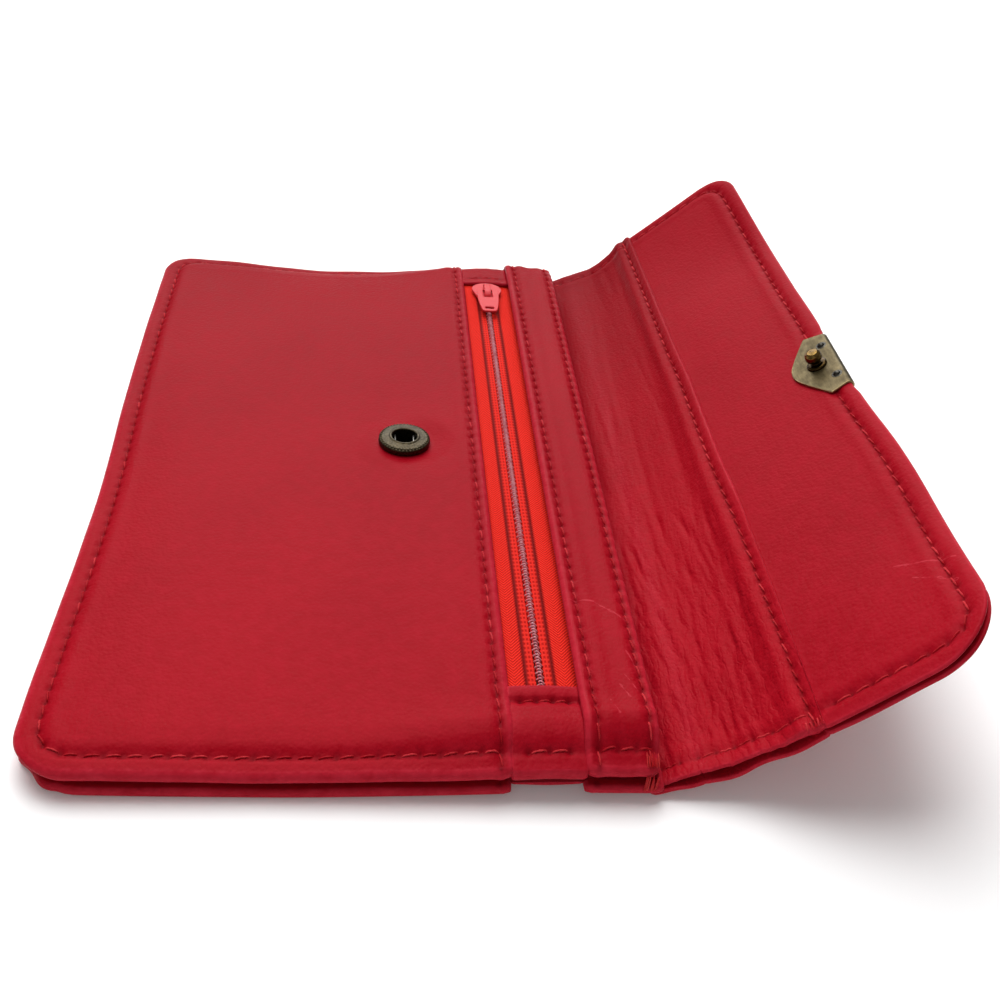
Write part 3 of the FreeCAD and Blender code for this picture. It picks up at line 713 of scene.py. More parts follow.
def enamel(name, tone, worn):
    n = Nodes(name)
    place = n.rest()
    peel = n.noise(place, 1.6, 3.0)
    color = n.mix(n.span(peel, 0.35, 0.7, 0.0, 0.5), tone, worn)
    rough = n.span(peel, 0.3, 0.7, 0.3, 0.42)
    n.surface(color=color, rough=rough, normal=n.bump(peel, 0.03, 0.6), specular=0.1)
    return n.surface(**{"Coat Weight": 0.02, "Coat Roughness": 0.15})


RED, PALE, DEEP = (0.335, 0.0028, 0.0102), (0.46, 0.013, 0.030), (0.275, 0.0013, 0.0074)
BAND_SCRATCHES = [
    ((35.0, -50.5), (40.5, -51.5), 0.14), ((40.5, -51.5), (45.5, -56.5), 0.12),
    ((43.0, -69.0), (44.6, -72.5), 0.12), ((42.0, -71.0), (43.2, -74.0), 0.1),
    ((44.0, -63.5), (45.0, -66.5), 0.12), ((40.0, -74.5), (41.0, -77.5), 0.1),
]
FLAP_SCRATCHES = [((84.5, -61.0), (91.0, -65.5), 0.16), ((85.5, -65.5), (89.5, -70.5), 0.12)]
LEATHER = leather("leather_front", RED, PALE, DEEP, far_shade=(-60.0, 0.32))
LEATHER_GUSSET = leather(
    "leather_gusset_soft", (0.365, 0.0030, 0.0110), (0.50, 0.013, 0.028), (0.29, 0.0013, 0.0072),
    1.1, 0.11, 0.4, far_shade=(-30.0, 0.66),
)
LEATHER_BAND = leather("leather_band", RED, PALE, DEEP, scratches=BAND_SCRATCHES, far_shade=(-60.0, 0.32))
LEATHER_FLAP = leather(
    "leather_flap_skin", (0.33, 0.0028, 0.0106), PALE, DEEP,
    glaze=0.38, scratches=FLAP_SCRATCHES, far_shade=(-30.0, 0.26),
)
# Painted shade: the turned edge in the gap between the units is coloured dark.
HEM_SHADE_LEATHER = leather(
    "leather_turned_edge_shade", (0.15, 0.001, 0.004), (0.22, 0.006, 0.012), (0.08, 0.0, 0.002), 1.2, 0.2, 0.5,
)
THREAD = thread_material("thread_red", (0.37, 0.0055, 0.0115), (0.66, 0.042, 0.052))
THREAD_BRIGHT = thread_material("thread_bright_red", (0.42, 0.008, 0.012), (0.62, 0.045, 0.045))
CORD = thread_material("zip_cord_red", (0.34, 0.006, 0.007), (0.55, 0.02, 0.02))
TAPE = tape_material()
COIL = coil_material()
CLOTH = cloth_material()
ANTIQUE = metal(
    "antique_brass_plate", (0.092, 0.070, 0.033), (0.42, 0.33, 0.17), (0.052, 0.039, 0.019),
    0.38, 0.26, (0.7, 0.12, 0.7), rub_and_highlight=0.75,
)
SOCKET = metal(
    "antique_brass_socket", (0.036, 0.027, 0.015), (0.52, 0.43, 0.26), (0.009, 0.007, 0.004),
    0.3, 0.14,
)
# Painted shade: the socket cap, deep in the ring's bore, is coloured dark.
DARK = metal(
    "socket_cap_shade_brass", (0.02, 0.016, 0.012), (0.05, 0.04, 0.03), (0.008, 0.006, 0.005),
    0.45, 0.2, use_rest=False,
)
# The stud's lower side is darkened as painted shade.
BRIGHT = metal(
    "bright_brass_stud", (0.17, 0.10, 0.024), (0.6, 0.4, 0.13), (0.05, 0.028, 0.009),
    0.16, 0.12, (0.3, 0.3, 0.3), low_shade=0.85,
)
STEEL = metal(
    "rivet_steel", (0.04, 0.04, 0.04), (0.22, 0.22, 0.21), (0.012, 0.012, 0.012),
    0.16, 0.1, use_rest=False,
)
DARK_STEEL = metal(
    "rivet_dark_steel", (0.045, 0.042, 0.034), (0.34, 0.32, 0.27), (0.009, 0.009, 0.008),
    0.2, 0.1,
)
SPRING = metal(
    "socket_spring_steel", (0.26, 0.25, 0.23), (0.6, 0.58, 0.54), (0.12, 0.115, 0.10),
    0.22, 0.1, use_rest=False,
)
ENAMEL = enamel("slider_enamel", (0.56, 0.026, 0.036), (0.62, 0.04, 0.048))


# ---------------------------------------------------------------- body, front unit


def crown_middle(x):
    """Height of the body's upper side, away from its near and far ends."""
    from_left = np.maximum(x - LEFT, 0)
    roll = 1.6 * (1 - np.exp(-from_left / 9.0))
    return RIM + roll + 3.75 * smooth((from_left - 42.0) / 46.0)


def end_share(y):
    return smooth((HALF - np.abs(y)) / 8.5)


def crown(x, y):
    return RIM + (crown_middle(x) - RIM) * end_share(y)


def patch_over(x, y):
    return RIM + (8.75 - RIM) * end_share(y) - 0.25


def panel_over(x, y):
    """The panel lies flat round the socket, and puffs a little beside its folded edge."""
    away = np.hypot(x - SNAP[0], y - SNAP[1])
    flat = 1 - smooth((away - 5.2) / 5.0)
    height = crown(x, y) * (1 - flat) + (SEAT - 0.02) * flat
    return height - 0.12 * bump((away - 5.6) / 0.9)


def case_place(x, y, z):
    return settled(np.stack([x, y, z], -1))


def rim_thick(low_u, high_u):
    """The thickness of a leather that is doubled at its rims."""
    thin, thick = 1.0, 2.6

    def thickness(u, v):
        inside = np.minimum(HALF - np.abs(v), np.minimum(u - low_u, high_u - u))
        at_end = bump((HALF - np.abs(v)) / 3.0)
        at_side = bump(inside / 3.0)
        return thin + (thick - thin) * np.maximum(at_end, at_side * 0.62)

    return thickness


NEAR_SEAM, FAR_SEAM = -HALF + SEAM_IN, HALF - SEAM_IN
BAND = WINDOW + 3.0


def fold_seam(x, **look):
    """A seam along the whole case, beside a folded edge."""
    return Seam([(x, -HALF + 0.8), (x, HALF - 0.8)], **look)


def border_seam(**look):
    """The seam round the panel's three outer sides."""
    low, high = LEFT + SEAM_IN, PANEL_EDGE + 1.2
    points = [(high, NEAR_SEAM), (low, NEAR_SEAM), (low, FAR_SEAM), (high, FAR_SEAM)]
    return Seam(points, radius=6.5, **look)


def end_seams(low_x, high_x, **look):
    """Two seams across the case, at its near and far ends."""
    return [Seam([(low_x, y), (high_x, y)], **look) for y in (NEAR_SEAM, FAR_SEAM)]


def build_panel(thread):
    barrel_hole = 3.3
    border, fold = border_seam(), fold_seam(PANEL_EDGE - FOLD_SEAM)
    panel = Skin(panel_over, case_place, rim_thick(LEFT, PANEL_EDGE), [border, fold])
    fine_lines = [LEFT + SEAM_IN, PANEL_EDGE - FOLD_SEAM, LEFT, SNAP[0]]
    us = fine_ticks(LEFT, PANEL_EDGE, fine_lines, 0.42, 0.95, 3.2)
    obj = panel.build(
        "front_leather", us, ticks(-HALF, HALF, 0.6), 1.25, corner_radii(CORNER, 1.2), LEATHER,
        hole=(SNAP[:2], barrel_hole),
    )
    finish_piece(obj, "case", "leather_red", "front_panel")
    thread.sew(panel, border, skip=lambda p: p[0] > PANEL_EDGE - 0.9)
    thread.sew(panel, fold)


def build_mouth_band(thread):
    def over(x, y):
        return crown(x, y) + 0.25 * bump((x - RIGHT + 1.5) / 2.5)

    folds = [fold_seam(STRIP_EDGE + FOLD_SEAM), fold_seam(RIGHT - MOUTH_SEAM)]
    ends = end_seams(STRIP_EDGE - 0.6, RIGHT - 0.8)
    band = Skin(over, case_place, rim_thick(STRIP_EDGE, RIGHT), folds + ends)
    obj = band.build(
        "mouth_band_leather", ticks(STRIP_EDGE, RIGHT, 0.4), ticks(-HALF + 0.2, HALF - 0.2, 0.6), 1.1,
        corner_radii(1.0, 1.6), LEATHER_BAND,
    )
    finish_piece(obj, "case", "leather_red", "mouth_strip")
    for seam in folds:
        thread.sew(band, seam)
    for seam in ends:
        thread.sew(band, seam, skip=lambda p: p[0] < STRIP_EDGE + 0.8 or p[0] > RIGHT - 0.8)
    return band


def build_patch(thread, label, side, deep, band_height):
    """The leather that closes the zip window at one end, and its folded band."""

    def over(x, y):
        past = np.abs(y) - WINDOW
        bow = 0.5 * bump((x - ZIP) / 4.0)
        band = band_height * (1 - smooth((past - 2.4 - 0.2 * bow) / 0.5))
        return patch_over(x, y) + band + 0.25 * bump((x - ZIP) / 3.5)

    def thick(x, y):
        return 1.0 + 1.3 * bump((HALF - np.abs(y)) / 3.0)

    def seam(y, pitch):
        ends = [(PANEL_EDGE - 1.0, y), (STRIP_EDGE + 1.0, y)]
        return Seam(ends, pitch=pitch, depth=deep, hole=2 * deep, swell=deep / 2)

    end, band = seam(side * FAR_SEAM, PITCH), seam(side * BAND, 2.6)
    skin = Skin(over, case_place, thick, [end, band])
    low, high = sorted((side * WINDOW, side * (HALF - 0.3)))
    obj = skin.build(
        "zip_patch_%s_leather" % label, ticks(PANEL_EDGE - 0.6, STRIP_EDGE + 0.6, 0.35),
        ticks(low, high, 0.35), 0.5, corner_radii(0.7, 0.7), LEATHER,
    )
    finish_piece(obj, "case", "leather_red", "zip_patch_" + label)
    for line, lift in ((end, 0.1), (band, 0.05)):
        thread.sew(skin, line, lift, lambda p: p[0] < PANEL_EDGE + 0.8 or p[0] > STRIP_EDGE - 0.8)


def build_front():
    thread = Thread()
    build_panel(thread)
    band = build_mouth_band(thread)
    build_patch(thread, "near", -1, 0.24, 0.35)
    build_patch(thread, "far", 1, 0.06, 0.12)
    finish_piece(thread.mesh("front_stitches", THREAD), "case", "leather_red")
    return band


# ---------------------------------------------------------------- body, inside and back


def build_lining(name, node, height, thick, rim, inset, high_x, radius):
    low_x, far_y = LEFT + inset, HALF - inset
    skin = Skin(height, case_place, lambda x, y: thick)
    us, vs = ticks(low_x, high_x, 1.6), ticks(-far_y, far_y, 1.6)
    obj = skin.build(name, us, vs, rim, corner_radii(radius, 0.6), CLOTH, rings=4)
    finish_piece(obj, "case", "lining_cloth", node)


def build_pocket_lining():
    """Cloth inside: the coin pocket's rear wall and the main pocket's floor."""
    at_edge = 3.4

    def wall(x, y):
        near_leather = crown_middle(x) - 1.6
        lift = smooth((x - STRIP_EDGE - 1.5) / 7.0)
        middle = np.minimum(near_leather, 5.65 + lift * (near_leather - 5.65))
        dip = 0.9 * bump((x - SNAP[0]) / 7.0)
        return at_edge + (middle - dip - at_edge) * end_share(y) + 0.4

    def floor(x, y):
        return 1.9 + 0.06 * np.sin(y / 7.0) * bump((x - 40) / 9)

    build_lining("pocket_wall_cloth", "coin_pocket_lining", wall, 0.4, 0.2, SEAM_IN + 0.3, RIGHT - 0.7, 4.0)
    build_lining("pocket_floor_cloth", "back_lining", floor, 0.35, 0.17, 2.4, 46.6, 7.6)


def build_hem():
    """The turned-in edge between the two units, set back from the rims, and painted dark for the shade in the
    gap.
    """
    inset, deep = 1.5, 5.0

    def outline(inward):
        low, far = LEFT + inward, HALF - inward
        points = [(RIGHT, -far), (low, -far), (low, far), (RIGHT, far)]
        return rounded_path(points, (CORNER - inward) * 1.17, 1.0)

    profile = [(0.0, 1.3), (0.2, 1.8), (0.05, 2.4), (0.0, 3.2), (deep, 3.2), (deep, 1.3)]
    count, sides = len(outline(inset)), len(profile)
    loops = []
    for inward, z in profile:
        path = outline(inset + inward)
        flat = between(np.linspace(0, 1, count), np.linspace(0, 1, len(path)), path)
        loops.append(case_place(flat[:, 0], flat[:, 1], np.full(count, z)))
    faces = []
    for k in range(sides):
        a, b = k * count, (k + 1) % sides * count
        faces += [(a + i, b + i, b + i + 1, a + i + 1) for i in range(count - 1)]
    faces.append([k * count for k in range(sides)][::-1])
    faces.append([k * count + count - 1 for k in range(sides)])
    rim = np.full(count * sides, 0.2)
    marks = {"rim": rim, "seam": rim * 0}
    obj = make_object("hem_leather", np.concatenate(loops), faces, HEM_SHADE_LEATHER, marks, False)
    finish_piece(obj, "case", "leather_red", "edge_hem")


def at_corner(x, y):
    """Reach and turn about a left corner's centre, and whether a point is in that corner."""
    out_x, out_y = LEFT + CORNER - x, np.abs(y) - (HALF - CORNER)
    return np.hypot(out_x, out_y), np.arctan2(out_y, out_x), (out_x > 0) * (out_y > 0)


def back_place(x, y, depth):
    """The back unit's own place: depth is measured down from its upper side."""
    reach, turn, inside = at_corner(x, y)
    share = inside * smooth((reach - 3.0) / 5.0) * smooth(turn / 0.3) * smooth((1.55 - turn) / 0.3)
    grown = 1 + share * (0.05 * np.sin(turn * 6.5 + 0.4) - 0.02)
    centre_x, centre_y = LEFT + CORNER, np.sign(y) * (HALF - CORNER)
    x = np.where(share > 0, centre_x + (x - centre_x) * grown, x)
    y = np.where(share > 0, centre_y + (y - centre_y) * grown, y)
    return case_place(x, y, BACK_TOP - depth)


def back_thick(x, y):
    """Thick enough to reach the top, with gathers round the two left corners."""
    reach, turn, inside = at_corner(x, y)
    share = inside * smooth((reach - 6.0) / 3.5) * smooth(turn / 0.25) * smooth((1.45 - turn) / 0.2)
    wavy = 0.10 * np.sin(x / 3.7 + 0.6) + 0.08 * np.sin(y / 5.3)
    edge = bump(np.minimum(HALF - np.abs(y), x - LEFT) / 3.0)
    return BACK_TOP + share * 0.8 * (np.sin(turn * 7.0 + 0.8) ** 2 - 0.4) + wavy * edge


def build_back():
    """The back unit's leather: its outer side faces the table."""
    thread, far_x = Thread(), 47.9

    def flat_over(x, y):
        return BACK_TOP + 0 * x

    def inset_over(x, y):
        return 1.25 + 0.2 * np.sin(x / 2.2) * bump((HALF - np.abs(y)) / 4.0)

    def layer(name, node, over, thick, seams, us, far_y, rim, low_radius=0.8):
        skin = Skin(over, back_place, thick, seams, flip=True)
        radii = corner_radii(low_radius, 0.8)
        obj = skin.build(name, us, ticks(-far_y, far_y, 0.8), rim, radii, LEATHER)
        finish_piece(obj, "case", "leather_red", node)
        for seam in seams:
            thread.sew(skin, seam, -0.12)

    border = border_seam(swell=0.0)
    fold = fold_seam(PANEL_EDGE - FOLD_SEAM, swell=0.0)
    us = fine_ticks(LEFT, PANEL_EDGE - 0.1, [LEFT, LEFT + SEAM_IN, PANEL_EDGE - FOLD_SEAM], 0.5, 2.0, 3.0)
    layer("back_leather", "back_panel", flat_over, back_thick, [border, fold], us, HALF, 0.8, 10.4)

    fold = fold_seam(STRIP_EDGE + FOLD_SEAM, swell=0.0)
    ends = end_seams(STRIP_EDGE - 0.6, RIGHT, swell=0.0)
    us = ticks(STRIP_EDGE + 0.1, far_x, 0.5)
    layer("back_band_leather", "back_strip", flat_over, back_thick, [fold, *ends], us, HALF, 0.8)

    ends = end_seams(PANEL_EDGE - 0.6, STRIP_EDGE + 0.6, swell=0.0)
    us = ticks(PANEL_EDGE - 0.7, STRIP_EDGE + 0.7, 0.6)
    layer("back_inset_leather", "back_inset", inset_over, lambda x, y: 1.0, ends, us, HALF - 1.5, 0.48)
    finish_piece(thread.mesh("back_stitches", THREAD, 0.24, 6), "case", "leather_red")


# ---------------------------------------------------------------- zip


def build_tape(label, side):
    reach, inner_edge = 8.2, 0.62
    length = WINDOW + 1.6

    def over(u, v):
        outer = 0.28 * np.sqrt(np.clip(1 - ((u - 3.9) / 1.75) ** 2, 0, 1))
        inner = 0.24 * np.sqrt(np.clip(1 - ((u - 1.35) / 0.78) ** 2, 0, 1))
        return TAPE_TOP - 0.32 + np.maximum(outer, inner)

    def place(u, v, h):
        return np.stack([ZIP + side * u, v + 0 * u, h], -1)

    skin = Skin(over, place, lambda u, v: 0.3, flip=side < 0)
    us, vs = ticks(inner_edge, reach, 0.18), ticks(-length, length, 0.7)
    obj = skin.build("zip_tape_%s_weave" % label, us, vs, 0.12, corner_radii(0.3, 0.3), TAPE, rings=4)
    finish_piece(obj, "case", "zip_tape", "zip_tape_" + label)


def build_coil(label, side, phase):
    """One side's teeth, each a bent turn of nylon, and the cord that they are sewn round."""
    low, high = corners("zip_coil_left")
    level, start, end = (low[2] + high[2]) / 2, low[1], high[1]
    pitch, radius = 1.36, 0.16
    t = np.linspace(0, 1, 13)
    x = side * (0.6 - 0.82 * np.sin(math.pi * t / 2) ** 0.8)
    z = level + 0.16 + 0.34 * np.sin(math.pi * np.clip(t * 1.06, 0, 1)) - 0.2 * (1 - t) ** 4
    swell = radius * (1 + 0.28 * bump((t - 0.86) / 0.14))
    swell[-1] *= 0.6
    tubes = []
    for y in np.arange(start + pitch * (0.5 + phase), end - 0.3, pitch):
        line = np.stack([ZIP + x, y + 0.26 * (t - 0.5) * side, z], -1)
        tubes.append((line, (0, 1, 0), swell[:, None]))
    obj = tube_mesh("zip_coil_%s_teeth" % label, tubes, 8, COIL)
    finish_piece(obj, "case", "zip_coil", "zip_coil_" + label)

    cord_x, cord_z = ZIP + side * 0.3, level - 0.06
    cord = along(np.array([[cord_x, start, cord_z], [cord_x, end, cord_z]]), 2.0)
    obj = thread_mesh("zip_cord_" + label, [cord], [(0.0, 0.0, 1.0)], CORD, 0.27)
    finish_piece(obj, "case", "zip_coil")


def build_zip():
    build_tape("left", -1)
    build_tape("right", 1)
    build_coil("left", -1, 0.0)
    build_coil("right", 1, 0.5)


# ---------------------------------------------------------------- gusset and flap


def direction(angle):
    return np.array([math.cos(angle), math.sin(angle)])


SPINE_WAY, FLAP_WAY = direction(SPINE_ANGLE), direction(FLAP_ANGLE)


def gusset_line():
    """The gusset's middle in the XZ plane, from inside the body's edge to the flap."""
    h1, h2 = H1[[0, 2]], H2[[0, 2]]
    points = [
        (45.6, 0.75), (47.4, 0.95), h1 + SPINE_WAY, h1 + SPINE_WAY * 5.0, h2,
        h2 + FLAP_WAY * 5.0, h2 + FLAP_WAY * (FLAP_SEAM + 1.2),
    ]
    path = along(np.array([tuple(p) for p in points]), 0.1)
    reach = 24
    kernel = np.exp(-((np.arange(-reach, reach + 1) / 10.0) ** 2))
    kernel /= kernel.sum()
    steps = np.arange(1, reach + 1)[:, None]
    before = path[0] + (path[0] - path[1]) * steps[::-1]
    after = path[-1] + (path[-1] - path[-2]) * steps
    padded = np.concatenate([before, path, after])
    return np.stack([np.convolve(column, kernel, "valid") for column in padded.T], -1)


LINE = gusset_line()
STATIONS = steps_along(LINE)
WAYS = ways_along(LINE)


def station_at(point):
    """The station nearest to a point of the XZ plane."""
    return float(STATIONS[np.argmin(np.linalg.norm(LINE - point, axis=1))])


AT_SPLIT = station_at(((H1 + H2) / 2)[[0, 2]])
AT_H2 = station_at(H2[[0, 2]])
AT_END = AT_H2 + FLAP_SEAM + 0.8


def skew(along_flap, y):
    """The flap is sewn on a little askew: its near end reaches further."""
    bow = 0.9 * bump((y + 38) / 20) * np.clip(along_flap / FLAP_EDGE, 0, 1)
    return bow - 1.4 * (y / HALF) * smooth((np.abs(y) - 11) / 20) * np.clip(along_flap / FLAP_SEAM, 0, 1)


def curl(along_flap, y):
    """Its two ends curl up, the far one more."""
    ends = 4.6 * smooth((-46 - y) / 39) + 5.5 * smooth((y - 46) / 39)
    risen = 0.3 * smooth((y - 64) / 21) * smooth((along_flap - 1) / 8)
    return ends * np.clip(along_flap / FLAP_EDGE, 0, 1) ** 1.25 + risen


def gusset_place(s, y, h):
    u = s - AT_H2
    s = s + skew(np.maximum(u, 0), y)
    point, way = between(s, STATIONS, LINE), between(s, STATIONS, WAYS)
    raised = h + curl(np.maximum(u, 0), y)
    x = point[..., 0] - way[..., 1] * raised
    z = point[..., 1] + way[..., 0] * raised
    lift = 0.5 * smooth((-72 - y) / 12) + 0.5 * smooth((y - 73) / 11)
    y = y * (1 + 0.014 * smooth((u - 2) / (FLAP_SEAM - 3)))
    return np.stack([x, y + 0 * x, z + lift * (1 - smooth((s - 4) / 16))], -1)


def flap_place(u, y, h):
    along_flap = u + skew(u, y)
    h = h + curl(u, y)
    x = H2[0] + along_flap * FLAP_WAY[0] - h * FLAP_WAY[1]
    z = H2[2] + along_flap * FLAP_WAY[1] + h * FLAP_WAY[0]
    return np.stack([x, y + 0 * x, z], -1)


def wrinkle_list():
    """Long wrinkles all over and short ones at the near end, each drawn at random:
    where its middle is, its reach along Y, its width, its slope and its height."""
    found = []
    for _ in range(44):
        y_mid = random.uniform(-82, 80)
        near = 1 - 0.6 * (y_mid + 82) / 162
        found.append((
            random.uniform(3.0, AT_END - 5), y_mid, random.uniform(7, 26), random.uniform(0.5, 1.15),
            random.uniform(-0.10, 0.10), near * random.choice((-0.2, -0.14, -0.1, 0.08, 0.1)),
        ))
    for _ in range(150):
        found.append((
            random.uniform(3.0, AT_END - 5), random.uniform(-84, -24), random.uniform(1.8, 6.0),
            random.uniform(0.3, 0.5), random.uniform(-0.2, 0.1), random.choice((-0.2, -0.15, -0.1)),
        ))
    return found


WRINKLES = wrinkle_list()


def wrinkled(s, y):
    height = np.zeros(np.shape(s))
    for at, middle, reach, wide, slope, deep in WRINKLES:
        height = height + deep * bump((s - at - slope * (y - middle)) / wide) * bump((y - middle) / reach)
    return height * smooth((s - 1.5) / 3.0) * smooth((AT_END - 3.4 - s) / 2.5)


def seam_rise(s):
    """The gusset thickens where it is turned in at the flap's seam."""
    return 0.8 * smooth((s - AT_H2 - 7.0) / 3.6)


def hanging(s, y):
    """The outer skin hangs below the inner one at the near end."""
    share = smooth((s - 1.5) / 6.0) * (1 - 0.8 * smooth((s - AT_END + 9) / 8))
    wave = 0.3 * np.sin(s / 1.7 + 0.5) * smooth((s - 6) / 5)
    return (0.12 + (0.85 + wave) * smooth((-58 - y) / 25) + 0.5 * smooth((y - 66) / 16)) * share


def bend_lower(obj):
    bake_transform(obj)


def bend_upper(obj):
    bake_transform(obj)


def build_gusset():
    at_seam, at_side = AT_END - 2.3, GUSSET_HALF - 3.0
    seam = Seam([(at_seam, -GUSSET_HALF + 1), (at_seam, GUSSET_HALF - 1)], hole=0.4)
    ends = [Seam([(3.0, y), (at_seam, y)], depth=0.15, hole=0.2) for y in (-at_side, at_side)]
    inner = Skin(
        lambda s, y: 0.8 + seam_rise(s) + wrinkled(s, y), gusset_place,
        lambda s, y: 0.85 + seam_rise(s), [seam, *ends],
    )
    outer = Skin(lambda s, y: -0.08 - hanging(s, y), gusset_place, lambda s, y: 0.72)
    vs_inner = ticks(-GUSSET_HALF, GUSSET_HALF, 0.62)
    vs_outer = ticks(-GUSSET_HALF - 0.6, GUSSET_HALF - 0.3, 0.8)
    parts = {
        "lower": (bend_lower, corner_radii(0.8, None), "high_u"),
        "upper": (bend_upper, corner_radii(None, 1.2), "low_u"),
    }

    def half(skin, name, part, us, vs, rim, *nodes):
        bend, radii, open_side = parts[part]
        obj = skin.build(name, us, vs, rim, radii, LEATHER_GUSSET, open_side)
        bend(obj)
        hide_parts(*nodes)

    us = ticks(0.0, AT_SPLIT, 0.3)
    half(inner, "gusset_lower_leather", "lower", us, vs_inner, 0.5, "gusset_inner", "gusset_fold_lower")
    us = ticks(AT_SPLIT, AT_END, 0.3)
    upper_nodes = ("gusset_fold_upper", "gusset_upper_inner", "flap_seam")
    half(inner, "gusset_upper_leather", "upper", us, vs_inner, 0.5, *upper_nodes)
    us = ticks(0.3, AT_SPLIT, 0.5)
    half(outer, "gusset_lower_outer_leather", "lower", us, vs_outer, 0.36, "gusset_outer")
    us = ticks(AT_SPLIT, AT_END - 0.4, 0.5)
    half(outer, "gusset_upper_outer_leather", "upper", us, vs_outer, 0.36, "gusset_upper_outer")

    thread = Thread()
    thread.sew(inner, seam)
    thread.bars(seam_tack_pairs(inner), (-0.4, -0.4, 0.8), 0.22)
    finish_piece(thread.mesh("gusset_seam_stitches", THREAD), "flap", "leather_gusset")
    skips = {
        "lower": lambda p: p[0] > AT_SPLIT - 1.4,
        "upper": lambda p: p[0] < AT_SPLIT + 1.4 or p[0] > AT_END - 3.2,
    }
    for part, skip in skips.items():
        thread = Thread()
        for end in ends:
            thread.sew(inner, end, 0.02, skip)
        parts[part][0](thread.mesh("gusset_end_stitches_" + part, THREAD, 0.14))


def seam_tack_pairs(skin):
    """The back stitches that end the gusset's seam, over its near edge."""
    near_end = -GUSSET_HALF
    pairs = []
    for k in range(5):
        at = AT_END - 3.3 + 0.55 * k
        start = skin.point(at, near_end + 1.5, 0.05)
        pairs.append((start, skin.point(at + rng.uniform(-0.2, 0.3), near_end + 0.1, -0.35)))
    return pairs


def flatten(obj):
    """Gives the piece a mesh of its own."""
    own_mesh(obj)


FLAP_START = FLAP_SEAM - 0.9
FLAP_BORDER_IN = 3.5


def pressed(u, y):
    """Where the catch plate squeezes the flap's edge."""
    return smooth((13.6 - np.abs(y - PLATE_Y)) / 3.6) * smooth((u - FLAP_EDGE + 7) / 3)


def tucked(u, y):
    """The edge is drawn in where the catch plate folds over it."""
    return u - 0.35 * pressed(u, y) * smooth((u - FLAP_EDGE + 4) / 3)


def under_plate(p):
    return abs(p[1] - PLATE_Y) < 10.6 and p[0] > FLAP_EDGE - 8


def flap_inner_over(u, y):
    swell = 0.1 * np.sin(y / 13.0) * smooth((u - 16) / 8) * (1 - pressed(u, y))
    return 0.97 + swell - 0.12 * pressed(u, y)


def flap_outer_over(u, y):
    """Measured outwards; at its near end this leather hangs away from the inner one."""
    wave = 0.16 * np.sin(y / 8.5 + 1.2) + 0.1 * np.sin(y / 4.1)
    seam_step = 0.6 * (1 - smooth((u - FLAP_START - 2.8) / 1.0)) * smooth((y + 84) / 8)
    edge = smooth((u - FLAP_EDGE + 9) / 8)
    hang = 0.3 * smooth((-64 - y) / 18) * (0.75 + 0.25 * np.sin(u / 2.6)) * smooth((u - FLAP_START) / 5)
    return 0.98 + seam_step + (wave + 0.12) * edge * (1 - pressed(u, y)) - 0.78 * pressed(u, y) + hang


def build_flap():
    seam_edge, seam_near, seam_far = FLAP_EDGE - FLAP_BORDER_IN, -HALF + FLAP_BORDER_IN, HALF - 2.6
    points = [(FLAP_START, seam_near), (seam_edge, seam_near), (seam_edge, seam_far), (FLAP_START, seam_far)]
    border = Seam(points, radius=7.0)
    fold = Seam([(FLAP_START + 2.0, -HALF + 1), (FLAP_START + 2.0, HALF - 1)])
    us = fine_ticks(FLAP_START, FLAP_EDGE, [FLAP_EDGE, seam_edge], 0.42, 0.7, 2.0)
    radii = {**corner_radii(0.9, 12.0), (1, 1): CORNER}
    inner = Skin(
        flap_inner_over, lambda u, y, h: flap_place(tucked(u, y), y, h),
        lambda u, y: 0.86, [border],
    )
    outer = Skin(
        flap_outer_over, lambda u, y, h: flap_place(tucked(u, y), y, -h),
        lambda u, y: 0.84 - 0.6 * pressed(u, y), [border, fold], flip=True,
    )
    obj = inner.build("flap_inner_leather", us, ticks(-HALF, HALF, 0.62), 0.5, radii, LEATHER_FLAP)
    finish_piece(obj, "flap", "leather_flap", "flap_inner", "flap_stiffener")
    flatten(obj)
    obj = outer.build("flap_outer_leather", us, ticks(-HALF - 0.3, HALF, 0.62), 0.42, radii, LEATHER)
    finish_piece(obj, "flap", "leather_flap", "flap_outer")
    flatten(obj)

    thread = Thread()
    thread.sew(inner, border, skip=lambda p: under_plate(p) or p[0] < FLAP_SEAM + 1.2)
    thread.sew(outer, border, skip=under_plate)
    thread.sew(outer, fold)
    obj = finish_piece(thread.mesh("flap_stitches", THREAD), "flap", "leather_flap")
    flatten(obj)


# ---------------------------------------------------------------- tacks


def build_tack(band, label, side):
    """A bar tack in brighter thread at one end of the mouth: over its top, then down its side."""
    thread = Thread()
    end = side * (HALF - 0.2)
    pairs = []
    for k in range(8):
        x = RIGHT - 2.1 + 0.24 * k + rng.uniform(-0.08, 0.08)
        inner = end - side * rng.uniform(1.7, 3.0)
        start = band.point(x, end - side * 0.5, 0.02)
        pairs.append((start, band.point(x + rng.uniform(-0.2, 0.3), inner)))
    thread.bars(pairs, (0, 0, 1), 0.08)
    pairs = []
    for k in range(9):
        x = RIGHT - 2.2 + 0.23 * k + rng.uniform(-0.08, 0.08)
        y = end + side * 0.12
        pairs.append((case_place(x + rng.uniform(-0.3, 0.3), y, 4.3), case_place(x, y, 0.8)))
    thread.bars(pairs, (0, side, 0), 0.12)
    obj = thread.mesh("mouth_tack_%s_thread" % label, THREAD_BRIGHT, 0.11)
    finish_piece(obj, "case", "leather_red", "mouth_tack_" + label)


# ---------------------------------------------------------------- metal


